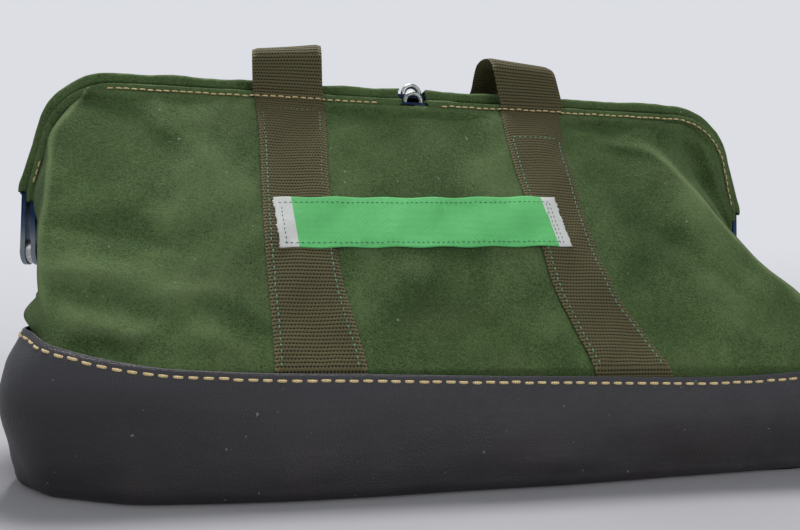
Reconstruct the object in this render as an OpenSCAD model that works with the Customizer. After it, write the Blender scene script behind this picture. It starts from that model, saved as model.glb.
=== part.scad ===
// Canvas tool bag with a stiff base band and a hinged steel mouth.
// Frame: origin at the centre of the flat underside, +X along the bag to the
// right as seen from the front, -Y towards the front, +Z up. Millimetres.
// At rest the mouth is shut and both grab loops lie back over it.

/* [Base] */
// Length of the base band
base_len = 550; // [500:1:600]
// Depth of the base band
base_dep = 250; // [220:1:290]
// Height of the base band
band_h = 70; // [50:1:90]
// Wall and floor thickness of the base band
band_t = 2; // [1.5:0.1:3]
// Radius of the band's upright corners
base_corner = 34; // [26:1:48]
// Radius along the band's bottom edge
base_edge = 16; // [8:1:22]
// Thickness of the stiffening board
board_t = 4; // [2:0.5:6]
// Canvas tucked in behind the band at the seam
seam_tuck = 12; // [8:1:20]

/* [Mouth] */
// Height of the pivots above the ground
pivot_z = 136; // [122:1:150]
// How far the mouth has slumped to the left of the base
mouth_shift = -26; // [-36:1:0]
// How far the pivots lie behind the base's middle
mouth_set = 6; // [0:1:10]
// Distance between the outer frame's feet, middle of bar to middle of bar
pivot_span = 552; // [530:1:570]
// Height of the front bar above the pivots
front_rise = 117; // [110:0.5:119]
// Height of the rear bar above the pivots
rear_rise = 125; // [123:0.5:130]
// Forward lean of the shut front frame, degrees
front_lean = 3; // [2:0.5:5]
// Backward lean of the shut rear frame, degrees
rear_lean = 2.5; // [2:0.5:5]

/* [Frame bars] */
// Width of the flat bar
bar_w = 19; // [16:0.5:20]
// Thickness of the flat bar
bar_t = 3; // [2.5:0.1:3.2]
// Bend radius of the bar at the mouth's corners
corner_r = 48; // [34:1:52]
// Splay of the legs from the upright, degrees
leg_splay = 15; // [12:0.5:18]
// Upright foot of each leg above the pivot
leg_foot = 38; // [30:1:44]
// Bend radius between foot and leg
foot_bend = 40; // [30:1:50]
// Rivet pin radius
rivet_r = 3.2; // [2.5:0.1:4]
// Rivet head radius
head_r = 7.8; // [6:0.1:8.5]
// Rivet head height
head_h = 3; // [2:0.1:4]
// Thickness of the spacer washer between the feet
washer_t = 3.8; // [3.4:0.1:4.6]
// Running clearance of the rivet in the bars
rivet_gap = 0.05; // [0.02:0.01:0.1]

/* [Lock eyes] */
// Wire radius of a lock eye
eye_wire = 1.95; // [1.5:0.05:2.2]
// Bend radius of a lock eye, to the middle of the wire
eye_bend = 6.2; // [5.5:0.1:7.5]
// Straight legs of a lock eye above the bar
eye_leg = 1.2; // [0.6:0.1:3]
// Half length of the sleeve's cut-out round the eyes
eye_gap = 15; // [12:1:20]

/* [Canvas and webbing] */
// Canvas thickness
canvas_t = 1.2; // [0.8:0.1:1.6]
// Loose room in the rear sleeve above its bar
sleeve_slack = 2.5; // [0.5:0.5:4]
// Bare length of each leg above the pivot
bare_leg = 44; // [40:1:60]
// How far inside the legs the canvas on the frames hangs at the pivots
hang_in = 22; // [21:1:32]
// Webbing width
web_w = 50; // [38:1:52]
// Webbing thickness
web_t = 2.2; // [1.6:0.1:2.6]
// Strap spacing at the mouth, middle to middle
strap_top = 185; // [160:1:210]
// Strap spacing at the base seam, middle to middle
strap_foot = 197; // [170:1:220]
// Label length
label_len = 204; // [160:1:215]
// Label height
label_h = 33; // [24:1:40]
// Label thickness
label_t = 0.9; // [0.6:0.1:1.5]
// Height of the label's lower edge above the ground
label_z = 154; // [146:1:180]

/* [Grab loops] */
// Radius about the pivots at which the front loop lies back
front_loop_r = 149.5; // [149:0.5:158]
// Radius about the pivots at which the rear loop lies back
rear_loop_r = 142; // [141.5:0.5:144]
// Angle behind the upright at which the front loop ends, degrees
front_loop_end = 40; // [36:1:44]
// Angle behind the upright at which the rear loop ends, degrees
rear_loop_end = 57; // [48:1:58]
// Bend radius where a loop turns back
loop_bend = 6; // [4:0.5:7]
// Width of a loop's crossing part, along the arc
loop_cross = 40; // [30:1:48]

/* [Hidden] */

// Room between pieces that touch on the real bag
seat = 0.3;
// Room between a sleeve and its bar
sleeve_gap = 0.2;
// Room left between the frame halves and the walls below the pivots
sweep_gap = 0.6;
// Small step used where one outline is cut by another
eps = 0.01;
// Lengths that run on into each other are joined over this much
lap = 0.05;
// Thickness of one level of a wall's form
level_t = 0.2;
arc_fn = 96;
soft_fn = 32;
// Straight steps in the bar's two bends
bend_steps = 4;
corner_steps = 15;

canvas_green = [0.16, 0.27, 0.14];
web_olive = [0.25, 0.22, 0.13];
band_grey = [0.18, 0.18, 0.20];
bar_blue = [0.24, 0.33, 0.43];
zinc = [0.74, 0.76, 0.78];
board_tan = [0.55, 0.43, 0.29];
label_green = [0.36, 0.75, 0.42];

// Middle of the outer and the inner foot, measured from the mouth's middle
rear_foot = pivot_span / 2;
front_foot = rear_foot - bar_t - washer_t - 0.2;
// The sleeve's outside stands this far off the bar's middle
sleeve_half = bar_t / 2 + sleeve_gap + canvas_t;
sleeve_half_w = bar_w / 2 + sleeve_gap + canvas_t;

// Middle of each bar over the pivots, in depth
front_bar_y = mouth_set - front_rise * sin(front_lean);
rear_bar_y = mouth_set + rear_rise * sin(rear_lean);
// Where the walls end below the sleeves
front_top_z = pivot_z + (front_rise - sleeve_half) * cos(front_lean) - seat;
rear_top_z = pivot_z + (rear_rise - sleeve_half) * cos(rear_lean) - seat;
front_top_y = front_bar_y - sleeve_half_w - canvas_t;
rear_top_y = rear_bar_y + sleeve_half_w + canvas_t;

// The walls run straight from the band to the sleeves
tuck_x = base_len / 2 - band_t - seat;
tuck_y = base_dep / 2 - band_t - seat;
function front_y(z) = -tuck_y + (front_top_y + tuck_y) * (z - band_h) / (front_top_z - band_h);
function rear_y(z) = tuck_y + (rear_top_y - tuck_y) * (z - band_h) / (rear_top_z - band_h);

// The canvas on the frames starts here and lies inside the lower walls,
// by one wall, one strap and their clearances, so that it can swing down
split_z = pivot_z;
swing_z = split_z + sleeve_gap;
split_step = canvas_t + sweep_gap + web_t;
waist_z = (band_h + split_z) / 2 + 1;

// Plan of the lower walls: [z, left x, right x, corner radius]
low_plan = [
    [band_h, -tuck_x, tuck_x, base_corner - band_t],
    [waist_z, mouth_shift * 0.3 - tuck_x - 1, tuck_x - 5.5, 46],
    [split_z, mouth_shift - front_foot + 8.8, mouth_shift + front_foot - 6.8, 60]
];

// Half length of the canvas on the frames at heights above the pivots. It
// stays inside the lower walls, then inside the legs and the bent corners.
leg_inside = front_foot - sleeve_half;
corner_low = front_rise - corner_r * (1 - sin(leg_splay));
function corner_x(h) =
    u_top(front_foot, front_rise)
    + sqrt(max(0, pow(corner_r - sleeve_half, 2) - pow(h - front_rise + corner_r, 2)));
up_plan = [
    [swing_z - pivot_z, leg_inside - hang_in],
    [bare_leg, leg_inside - hang_in * 0.6],
    [corner_low + 6, corner_x(corner_low + 6) - 1],
    [corner_low + 16, corner_x(corner_low + 16) - 1]
];
up_corner = 58;

// Straight half length of the bar over the mouth
function u_leg(rise) =
    (rise - corner_r * (1 - sin(leg_splay)) - leg_foot - foot_bend * sin(leg_splay)) / cos(leg_splay);
function u_top(foot, rise) =
    foot - foot_bend * (1 - cos(leg_splay)) - u_leg(rise) * sin(leg_splay) - corner_r * cos(leg_splay);

// Strap middles at a height, side -1 left and 1 right
function strap_x(side, z) =
    let (t = (z - band_h) / (front_top_z - band_h))
    mouth_shift * t + side * (strap_foot + (strap_top - strap_foot) * t) / 2;

// Ring sector in the plane, from angle a0 to a1
module sector(r0, r1, a0, a1) {
    reach = 2 * r1;
    intersection() {
        difference() {
            circle(r = r1, $fn = arc_fn);
            circle(r = r0, $fn = arc_fn);
        }
        polygon([
            [0, 0],
            [reach * cos(a0), reach * sin(a0)],
            [reach * cos((a0 + a1) / 2), reach * sin((a0 + a1) / 2)],
            [reach * cos(a1), reach * sin(a1)]
        ]);
    }
}

// Right half of the bent bar's line, offset outwards by o, from the foot up
function half_line(foot, rise, o, drop) = concat(
    [[foot + o, -drop]],
    [for (i = [0 : bend_steps])
        let (a = leg_splay * i / bend_steps)
        [foot - foot_bend + (foot_bend + o) * cos(a), leg_foot + (foot_bend + o) * sin(a)]],
    [for (i = [0 : corner_steps])
        let (a = leg_splay + (90 - leg_splay) * i / corner_steps)
        [u_top(foot, rise) + (corner_r + o) * cos(a), rise - corner_r + (corner_r + o) * sin(a)]]
);

function reversed(points) = [for (i = [len(points) - 1 : -1 : 0]) points[i]];

function mirrored(points) = [for (p = points) [-p[0], p[1]]];

function u_line(foot, rise, o, drop) =
    let (side = half_line(foot, rise, o, drop))
    concat(side, reversed(mirrored(side)));

// The bent bar's outline between offsets lo and hi of its middle line
module u_outline(foot, rise, lo, hi, drop = 0) {
    polygon(concat(u_line(foot, rise, hi, drop), reversed(u_line(foot, rise, lo, drop))));
}

// Stands a drawing of the mouth's plane upright at the pivots and leans it
module at_mouth(lean) {
    translate([mouth_shift, mouth_set, pivot_z])
        rotate([lean, 0, 0])
            children();
}

module upright(w) {
    rotate([90, 0, 0])
        linear_extrude(height = w, center = true)
            children();
}

// Flat bar bent to a U, with round drilled feet
module frame_bar(foot, rise, lean) {
    at_mouth(lean)
        difference() {
            union() {
                upright(bar_w) u_outline(foot, rise, -bar_t / 2, bar_t / 2);
                for (side = [-1, 1])
                    translate([side * foot, 0, 0])
                        rotate([0, 90, 0])
                            cylinder(h = bar_t, r = bar_w / 2, center = true, $fn = arc_fn);
            }
            rotate([0, 90, 0])
                cylinder(h = 2 * foot + 20, r = rivet_r + rivet_gap, center = true, $fn = arc_fn);
        }
}

// Canvas tube round the bar, open at both leg ends and over the lock eye
module sleeve(foot, rise, lean, slack) {
    lo = -sleeve_half;
    hi = sleeve_half + slack;
    at_mouth(lean)
        difference() {
            upright(2 * sleeve_half_w) u_outline(foot, rise, lo, hi);
            upright(2 * (sleeve_half_w - canvas_t))
                u_outline(foot, rise, lo + canvas_t, hi - canvas_t, 1);
            translate([-foot - 20, -bar_w, -20])
                cube([2 * foot + 40, 2 * bar_w, bare_leg + 20]);
            translate([-eye_gap, -bar_w, rise + bar_t / 2])
                cube([2 * eye_gap, 2 * bar_w, 20]);
        }
}

// Bent wire eye for a padlock, standing on its bar
module lock_eye(rise, lean, y) {
    foot_h = rise + bar_t / 2;
    at_mouth(lean)
        translate([0, y, foot_h]) {
            for (side = [-1, 1])
                translate([side * eye_bend, 0, 0])
                    cylinder(h = eye_leg, r = eye_wire, $fn = arc_fn);
            translate([0, 0, eye_leg])
                rotate([90, 0, 0])
                    rotate_extrude(angle = 180, $fn = arc_fn)
                        translate([eye_bend, 0])
                            circle(r = eye_wire, $fn = soft_fn);
        }
}

// Domed rivet through both feet; side -1 left and 1 right
module rivet(side) {
    inner = front_foot - bar_t / 2 - 0.1;
    outer = rear_foot + bar_t / 2 + 0.1;
    dome_r = (head_r * head_r + head_h * head_h) / (2 * head_h);
    translate([mouth_shift, mouth_set, pivot_z])
        mirror([side < 0 ? 1 : 0, 0, 0])
            rotate([0, 90, 0]) {
                translate([0, 0, inner - eps])
                    cylinder(h = outer - inner + 2 * eps, r = rivet_r, $fn = arc_fn);
                for (end = [[outer, 0], [inner, 1]])
                    translate([0, 0, end[0]])
                        mirror([0, 0, end[1]])
                            rotate_extrude($fn = arc_fn)
                                intersection() {
                                    translate([0, head_h - dome_r])
                                        circle(r = dome_r, $fn = arc_fn);
                                    square([head_r + 1, head_h + 1]);
                                }
            }
}

// Spacer washer between the two feet
module washer(side) {
    translate([mouth_shift + side * (front_foot + bar_t / 2 + 0.1), mouth_set, pivot_z])
        rotate([0, side * 90, 0])
            difference() {
                cylinder(h = washer_t, r = bar_w / 2 - 1, $fn = arc_fn);
                translate([0, 0, -1])
                    cylinder(h = washer_t + 2, r = rivet_r + rivet_gap, $fn = arc_fn);
            }
}

// Upright corner of a wall section that turns round the base's corner
module tray_profile(reach) {
    difference() {
        union() {
            translate([0, base_edge])
                square([reach, band_h - base_edge]);
            square([reach - base_edge, base_edge + 1]);
            translate([reach - base_edge, base_edge])
                intersection() {
                    circle(r = base_edge, $fn = arc_fn);
                    translate([-1, -base_edge])
                        square([base_edge + 1, base_edge + 1]);
                }
        }
        translate([-1, base_edge])
            square([reach - band_t + 1, band_h]);
        translate([-1, band_t])
            square([reach - base_edge + 1, base_edge + 1]);
        translate([reach - base_edge, base_edge])
            intersection() {
                circle(r = base_edge - band_t, $fn = arc_fn);
                translate([-1, -base_edge])
                    square([base_edge + 1, base_edge + 2]);
            }
    }
}

// Base band and bottom: side walls, turned corners and a flat floor
module tray() {
    sx = base_len / 2 - base_corner;
    sy = base_dep / 2 - base_corner;
    for (a = [0, 180])
        rotate(a) {
            translate([-sx, sy, 0])
                rotate([90, 0, 90])
                    linear_extrude(height = 2 * sx)
                        tray_profile(base_corner);
            translate([sx, sy, 0])
                rotate([90, 0, 0])
                    linear_extrude(height = 2 * sy)
                        tray_profile(base_corner);
            translate([sx, sy, 0])
                rotate_extrude(angle = 90, $fn = arc_fn)
                    tray_profile(base_corner);
            translate([-sx, sy, 0])
                rotate(90)
                    rotate_extrude(angle = 90, $fn = arc_fn)
                        tray_profile(base_corner);
        }
    translate([-sx, -sy, 0])
        cube([2 * sx, 2 * sy, band_t]);
}

// Flat rectangle with round corners, from corner to corner
module round_rect(x0, x1, y0, y1, r) {
    translate([x0 + r, y0])
        square([x1 - x0 - 2 * r, y1 - y0]);
    translate([x0, y0 + r])
        square([x1 - x0, y1 - y0 - 2 * r]);
    for (x = [x0 + r, x1 - r], y = [y0 + r, y1 - r])
        translate([x, y])
            circle(r = r, $fn = soft_fn);
}

module board() {
    inset = base_edge + seat;
    translate([0, 0, band_t])
        linear_extrude(height = board_t)
            round_rect(
                inset - base_len / 2, base_len / 2 - inset,
                inset - base_dep / 2, base_dep / 2 - inset, base_corner - inset / 2
            );
}

// Outline of one level of the lower walls, drawn in by off
module low_outline(i, off) {
    p = low_plan[i];
    round_rect(p[1] + off, p[2] - off, front_y(p[0]) + off, rear_y(p[0]) - off, p[3] - off);
}

module low_level(i, off) {
    translate([0, 0, low_plan[i][0]])
        linear_extrude(height = level_t)
            low_outline(i, off);
}

// Straight behind the band, then in stages up to the pivots
module low_form(off) {
    translate([0, 0, band_h - seam_tuck])
        linear_extrude(height = seam_tuck + level_t)
            low_outline(0, off);
    for (i = [0 : len(low_plan) - 2])
        hull() {
            low_level(i, off);
            low_level(i + 1, off);
        }
}

// Side of the lower walls at a height between the waist and the pivots
function low_x(side, z) =
    let (t = (z - waist_z) / (split_z - waist_z), k = side < 0 ? 1 : 2)
    low_plan[1][k] + (low_plan[2][k] - low_plan[1][k]) * t;

module low_shell() {
    difference() {
        low_form(0);
        low_form(canvas_t);
        translate([0, 0, band_h - seam_tuck - 1])
            linear_extrude(height = 2)
                low_outline(0, canvas_t);
        translate([0, 0, split_z])
            linear_extrude(height = 1)
                square(1.5 * base_len, center = true);
        translate([mouth_shift, mouth_set, pivot_z])
            rotate([0, 90, 0])
                cylinder(h = 2 * base_len, r = bar_w / 2 + 3, center = true, $fn = soft_fn);
    }
}

// Part of the walls between two upright slices that lean with the mouth
module slice_x(x0_low, x1_low, x0_top, x1_top, y0, y1) {
    z0 = band_h - seam_tuck - 5;
    z1 = rear_top_z + 5;
    translate([0, y1, 0])
        rotate([90, 0, 0])
            linear_extrude(height = y1 - y0)
                polygon([[x0_low, z0], [x1_low, z0], [x1_top, z1], [x0_top, z1]]);
}

seam_low = base_len / 2 - base_corner;
seam_top = leg_inside - up_corner;
half = base_dep;
far = base_len;

module low_wall(side) {
    intersection() {
        low_shell();
        slice_x(-seam_low, seam_low, mouth_shift - seam_top, mouth_shift + seam_top,
            side < 0 ? -half : 0, side < 0 ? 0 : half);
    }
}

module low_gusset(side) {
    g = 2 * sleeve_gap;
    intersection() {
        low_shell();
        if (side < 0)
            slice_x(-far, -seam_low - g, -far, mouth_shift - seam_top - g, -half, half);
        else
            slice_x(seam_low + g, far, mouth_shift + seam_top + g, far, -half, half);
    }
}

// Folded middle of a gusset: it rises from the lower gusset's inside and
// lies between the legs
module gusset_fold(side) {
    function wall_x(z) = low_x(side, z) - side * (canvas_t + seat);
    z0 = split_z - 22;
    z1 = split_z - bar_w / 2 - 3;
    z2 = pivot_z + corner_low - 6;
    x_out = mouth_shift + side * (up_plan[0][1] - 2);
    x_in = x_out - side * 46;
    translate([0, mouth_set + 4, 0])
        rotate([90, 0, 0])
            linear_extrude(height = 2 * canvas_t, center = true)
                polygon([
                    [x_in, z0], [wall_x(z0), z0], [wall_x(z1), z1],
                    [x_out, swing_z], [x_out - side * 4, z2], [x_in + side * 26, z2]
                ]);
}

// One level of the canvas on a frame; face is -1 front and 1 rear
module up_level(face, h, half_len, off) {
    z = pivot_z + h;
    line = face < 0 ? front_y(z) : rear_y(z);
    top = face < 0 ? front_top_z : rear_top_z;
    step = split_step * max(0, (top - z) / (top - swing_z));
    y = line - face * (step + off);
    r = min(up_corner, abs(y - mouth_set) - off) * 0.8;
    back = mouth_set - face * up_corner;
    translate([mouth_shift, 0, z])
        linear_extrude(height = level_t)
            round_rect(off - half_len, half_len - off, min(y, back), max(y, back), max(r, 3));
}

// All levels of one frame's canvas, the last one just under its sleeve
function up_levels(face) = concat(
    up_plan,
    [[(face < 0 ? front_top_z : rear_top_z) - pivot_z - eps, corner_x(front_rise - sleeve_half - seat) - 1]]
);

module up_form(face, off) {
    plan = up_levels(face);
    for (i = [0 : len(plan) - 2])
        hull() {
            up_level(face, plan[i][0], plan[i][1], off);
            up_level(face, plan[i + 1][0], plan[i + 1][1], off);
        }
}

// Canvas of one frame: open behind, at the bottom and under the sleeve
module up_shell(face) {
    edge = face < 0 ? mouth_set - 1 : mouth_set + 12;
    difference() {
        intersection() {
            up_form(face, 0);
            translate([-far, face < 0 ? edge - half : edge, 0])
                cube([2 * far, half, 2 * rear_top_z]);
        }
        up_form(face, canvas_t);
        translate([0, 0, swing_z - 1])
            linear_extrude(height = 1 + level_t / 2)
                square(2 * base_len, center = true);
        translate([0, 0, face < 0 ? front_top_z : rear_top_z])
            linear_extrude(height = 20)
                square(2 * base_len, center = true);
    }
}

module up_wall(face) {
    intersection() {
        up_shell(face);
        slice_x(-seam_low, seam_low, mouth_shift - seam_top, mouth_shift + seam_top, -half, half);
    }
}

module up_return(face, side) {
    g = 2 * sleeve_gap;
    intersection() {
        up_shell(face);
        if (side < 0)
            slice_x(-far, -seam_low - g, -far, mouth_shift - seam_top - g, -half, half);
        else
            slice_x(seam_low + g, far, mouth_shift + seam_top + g, far, -half, half);
    }
}

// Flat webbing between two levels, its back at depths ya and yb
module web_run(side, face, za, ya, zb, yb) {
    hull()
        for (end = [[za, ya], [zb - eps, yb]])
            translate([strap_x(side, end[0]) - web_w / 2, face < 0 ? end[1] - web_t : end[1], end[0]])
                cube([web_w, web_t, eps]);
}

module strap_foot(side, face) {
    f = face * sleeve_gap;
    z0 = band_h + seat;
    z1 = split_z;
    web_run(side, face, z0, (face < 0 ? front_y(z0) : rear_y(z0)) + f,
        z1, (face < 0 ? front_y(z1) : rear_y(z1)) + f);
}

module strap(side, face) {
    f = face * sleeve_gap;
    top_z = face < 0 ? front_top_z : rear_top_z;
    top_y = face < 0 ? front_top_y : rear_top_y;
    low_y = (face < 0 ? front_y(swing_z) : rear_y(swing_z)) - face * split_step;
    web_run(side, face, swing_z, low_y + f, top_z, top_y + f);
    web_run(side, face, top_z - eps, top_y + f, hem_z(face), top_y + f);
}

// Height at which the grab loops leave the mouth's edge
function hem_z(face) = pivot_z
    + (face < 0 ? front_rise + sleeve_half : rear_rise + sleeve_half + sleeve_slack);

// Label across the front straps
module label_plate() {
    z1 = label_z + label_h;
    lift = 2 * sleeve_gap + web_t;
    function face_y(z) = front_y(z) + split_step * (front_top_z - z) / (front_top_z - swing_z) - lift;
    x0 = strap_x(-1, label_z) - web_w / 2 + 8;
    hull()
        for (z = [label_z, z1 - eps])
            translate([x0, face_y(z) - label_t, z])
                cube([label_len, label_t, eps]);
}

// Webbing line of a grab loop seen from the side: a round end on which it
// turns, a short riser, a bend and an arc about the pivots
module loop_side(face, loop_r, end_a) {
    y = (face < 0 ? front_top_y - sleeve_gap - web_t / 2 : rear_top_y + sleeve_gap + web_t / 2) - mouth_set;
    z = hem_z(face) + seat + web_t / 2 - pivot_z;
    bend_y = y + loop_bend;
    bend_z = sqrt(pow(loop_r - loop_bend, 2) - bend_y * bend_y);
    start_a = atan2(bend_z, bend_y);
    join_a = lap / loop_bend * 180 / PI;
    translate([y, z])
        circle(r = web_t / 2, $fn = soft_fn);
    translate([y - web_t / 2, z])
        square([web_t, bend_z - z + lap]);
    translate([bend_y, bend_z])
        sector(loop_bend - web_t / 2, loop_bend + web_t / 2, start_a - join_a, 180);
    sector(loop_r - web_t / 2, loop_r + web_t / 2, 90 - end_a, start_a);
}

module grab_loop(face, loop_r, end_a) {
    cross_a = loop_cross / loop_r * 180 / PI;
    x0 = strap_x(-1, front_top_z);
    x1 = strap_x(1, front_top_z);
    translate([0, mouth_set, pivot_z]) {
        for (x = [x0, x1])
            translate([x + web_w / 2, 0, 0])
                side_view(web_w)
                    loop_side(face, loop_r, end_a);
        translate([x1 - web_w / 2 + eps, 0, 0])
            side_view(x1 - x0 - web_w + 2 * eps)
                sector(loop_r - web_t / 2, loop_r + web_t / 2, 90 - end_a, 90 - end_a + cross_a);
    }
}

// Turns a drawing of the plane [y, z] into a solid that runs back along -X
module side_view(w) {
    rotate([90, 0, 90])
        translate([0, 0, -w])
            linear_extrude(height = w)
                children();
}

module base_tray() { color(band_grey) tray(); }
module base_board() { color(board_tan) board(); }
module front_wall() { color(canvas_green) low_wall(-1); }
module rear_wall() { color(canvas_green) low_wall(1); }
module left_gusset() { color(canvas_green) low_gusset(-1); }
module right_gusset() { color(canvas_green) low_gusset(1); }
module left_gusset_fold() { color(canvas_green) gusset_fold(-1); }
module right_gusset_fold() { color(canvas_green) gusset_fold(1); }
module front_strap_foot_left() { color(web_olive) strap_foot(-1, -1); }
module front_strap_foot_right() { color(web_olive) strap_foot(1, -1); }
module rear_strap_foot_left() { color(web_olive) strap_foot(-1, 1); }
module rear_strap_foot_right() { color(web_olive) strap_foot(1, 1); }

module front_frame_bar() { color(bar_blue) frame_bar(front_foot, front_rise, front_lean); }
module front_sleeve() { color(canvas_green) sleeve(front_foot, front_rise, front_lean, 0); }
module front_lock_eye() { color(zinc) lock_eye(front_rise, front_lean, -4); }
module front_upper_wall() { color(canvas_green) up_wall(-1); }
module front_left_return() { color(canvas_green) up_return(-1, -1); }
module front_right_return() { color(canvas_green) up_return(-1, 1); }
module front_strap_left() { color(web_olive) strap(-1, -1); }
module front_strap_right() { color(web_olive) strap(1, -1); }
module label() { color(label_green) label_plate(); }
module left_rivet() { color(zinc) rivet(-1); }
module right_rivet() { color(zinc) rivet(1); }

module rear_frame_bar() { color(bar_blue) frame_bar(rear_foot, rear_rise, -rear_lean); }
module rear_sleeve() { color(canvas_green) sleeve(rear_foot, rear_rise, -rear_lean, sleeve_slack); }
module rear_lock_eye() { color(zinc) lock_eye(rear_rise, -rear_lean, -6.5); }
module rear_upper_wall() { color(canvas_green) up_wall(1); }
module rear_left_return() { color(canvas_green) up_return(1, -1); }
module rear_right_return() { color(canvas_green) up_return(1, 1); }
module rear_strap_left() { color(web_olive) strap(-1, 1); }
module rear_strap_right() { color(web_olive) strap(1, 1); }
module left_washer() { color(zinc) washer(-1); }
module right_washer() { color(zinc) washer(1); }

module front_grab_loop() { color(web_olive) grab_loop(-1, front_loop_r, front_loop_end); }
module rear_grab_loop() { color(web_olive) grab_loop(1, rear_loop_r, rear_loop_end); }

base_tray();
base_board();
front_wall();
rear_wall();
left_gusset();
right_gusset();
left_gusset_fold();
right_gusset_fold();
front_strap_foot_left();
front_strap_foot_right();
rear_strap_foot_left();
rear_strap_foot_right();
front_frame_bar();
front_sleeve();
front_lock_eye();
front_upper_wall();
front_left_return();
front_right_return();
front_strap_left();
front_strap_right();
label();
left_rivet();
right_rivet();
rear_frame_bar();
rear_sleeve();
rear_lock_eye();
rear_upper_wall();
rear_left_return();
rear_right_return();
rear_strap_left();
rear_strap_right();
left_washer();
right_washer();
front_grab_loop();
rear_grab_loop();
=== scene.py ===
"""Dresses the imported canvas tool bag: base band, canvas, webbing, label, thread and steel.

Lengths are millimetres until a mesh is made. +X runs along the bag to the right as
seen from the front, -Y points to the front and +Z up, as in the frame.
"""
import logging
from dataclasses import dataclass, field
from enum import Enum
from typing import Any, Dict, List, Optional, Sequence, Tuple

import bmesh
import bpy
import numpy as np
from mathutils import Matrix


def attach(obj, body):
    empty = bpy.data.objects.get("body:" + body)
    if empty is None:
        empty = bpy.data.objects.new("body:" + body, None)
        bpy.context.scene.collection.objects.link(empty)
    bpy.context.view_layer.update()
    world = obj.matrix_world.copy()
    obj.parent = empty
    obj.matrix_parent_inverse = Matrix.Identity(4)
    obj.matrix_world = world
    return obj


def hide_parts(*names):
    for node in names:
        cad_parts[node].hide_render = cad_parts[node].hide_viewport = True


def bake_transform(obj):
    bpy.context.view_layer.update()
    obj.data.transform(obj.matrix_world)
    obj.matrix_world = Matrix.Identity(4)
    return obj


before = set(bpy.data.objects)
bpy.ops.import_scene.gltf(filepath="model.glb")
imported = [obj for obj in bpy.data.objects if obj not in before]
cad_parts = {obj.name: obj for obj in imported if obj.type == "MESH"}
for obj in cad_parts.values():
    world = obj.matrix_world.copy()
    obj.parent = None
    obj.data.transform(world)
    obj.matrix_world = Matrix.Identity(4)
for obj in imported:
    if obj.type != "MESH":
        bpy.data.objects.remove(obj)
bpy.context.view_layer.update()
LOG = logging.getLogger("tool_bag")

Array = np.ndarray
Colour = Tuple[float, float, float]
MM = 0.001


class Half(Enum):
    """One of two halves of the bag."""

    @property
    def word(self) -> str:
        """The half as it stands in the names of pieces."""
        return self.name.lower()


class Face(Half):
    """Which half of the bag a piece belongs to."""

    FRONT = -1
    REAR = 1


class Side(Half):
    """Left or right as seen from the front."""

    LEFT = -1
    RIGHT = 1


# ---------------------------------------------------------------- shader maths


class Sock:
    """A shader socket that adds Math nodes when it is used in an expression."""

    def __init__(self, tree: "Shader", link: Any) -> None:
        """Keeps the node tree and the output socket."""
        self.tree = tree
        self.link = link

    def _math(self, operation: str, a: Any, b: Any = 0.0, clamp: bool = False) -> "Sock":
        """Adds one Math node.

        Args:
            operation: the node's operation.
            a: first value or link.
            b: second value or link.
            clamp: keeps the result between 0 and 1.

        Returns:
            The node's output.
        """
        return self.tree.add("ShaderNodeMath", {"operation": operation, "use_clamp": clamp}, {0: a, 1: b})

    def __add__(self, other: Any) -> "Sock":
        """Sum."""
        return self._math("ADD", self, other)

    __radd__ = __add__

    def __sub__(self, other: Any) -> "Sock":
        """Difference."""
        return self._math("SUBTRACT", self, other)

    def __rsub__(self, other: Any) -> "Sock":
        """Difference taken from a number."""
        return self._math("SUBTRACT", other, self)

    def __mul__(self, other: Any) -> "Sock":
        """Product."""
        return self._math("MULTIPLY", self, other)

    __rmul__ = __mul__

    def __truediv__(self, other: Any) -> "Sock":
        """Quotient."""
        return self._math("DIVIDE", self, other)

    def __pow__(self, other: float) -> "Sock":
        """Power."""
        return self._math("POWER", self, other)

    def sine(self) -> "Sock":
        """Sine."""
        return self._math("SINE", self)

    def size(self) -> "Sock":
        """Absolute value."""
        return self._math("ABSOLUTE", self)

    def above(self, edge: float, width: float) -> "Sock":
        """Rises from 0 at edge to 1 at edge plus width."""
        return self._math("MULTIPLY", self - edge, 1.0 / width, clamp=True)

    def below(self, edge: float, width: float) -> "Sock":
        """Falls from 1 at edge to 0 at edge plus width."""
        return 1.0 - self.above(edge, width)


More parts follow.
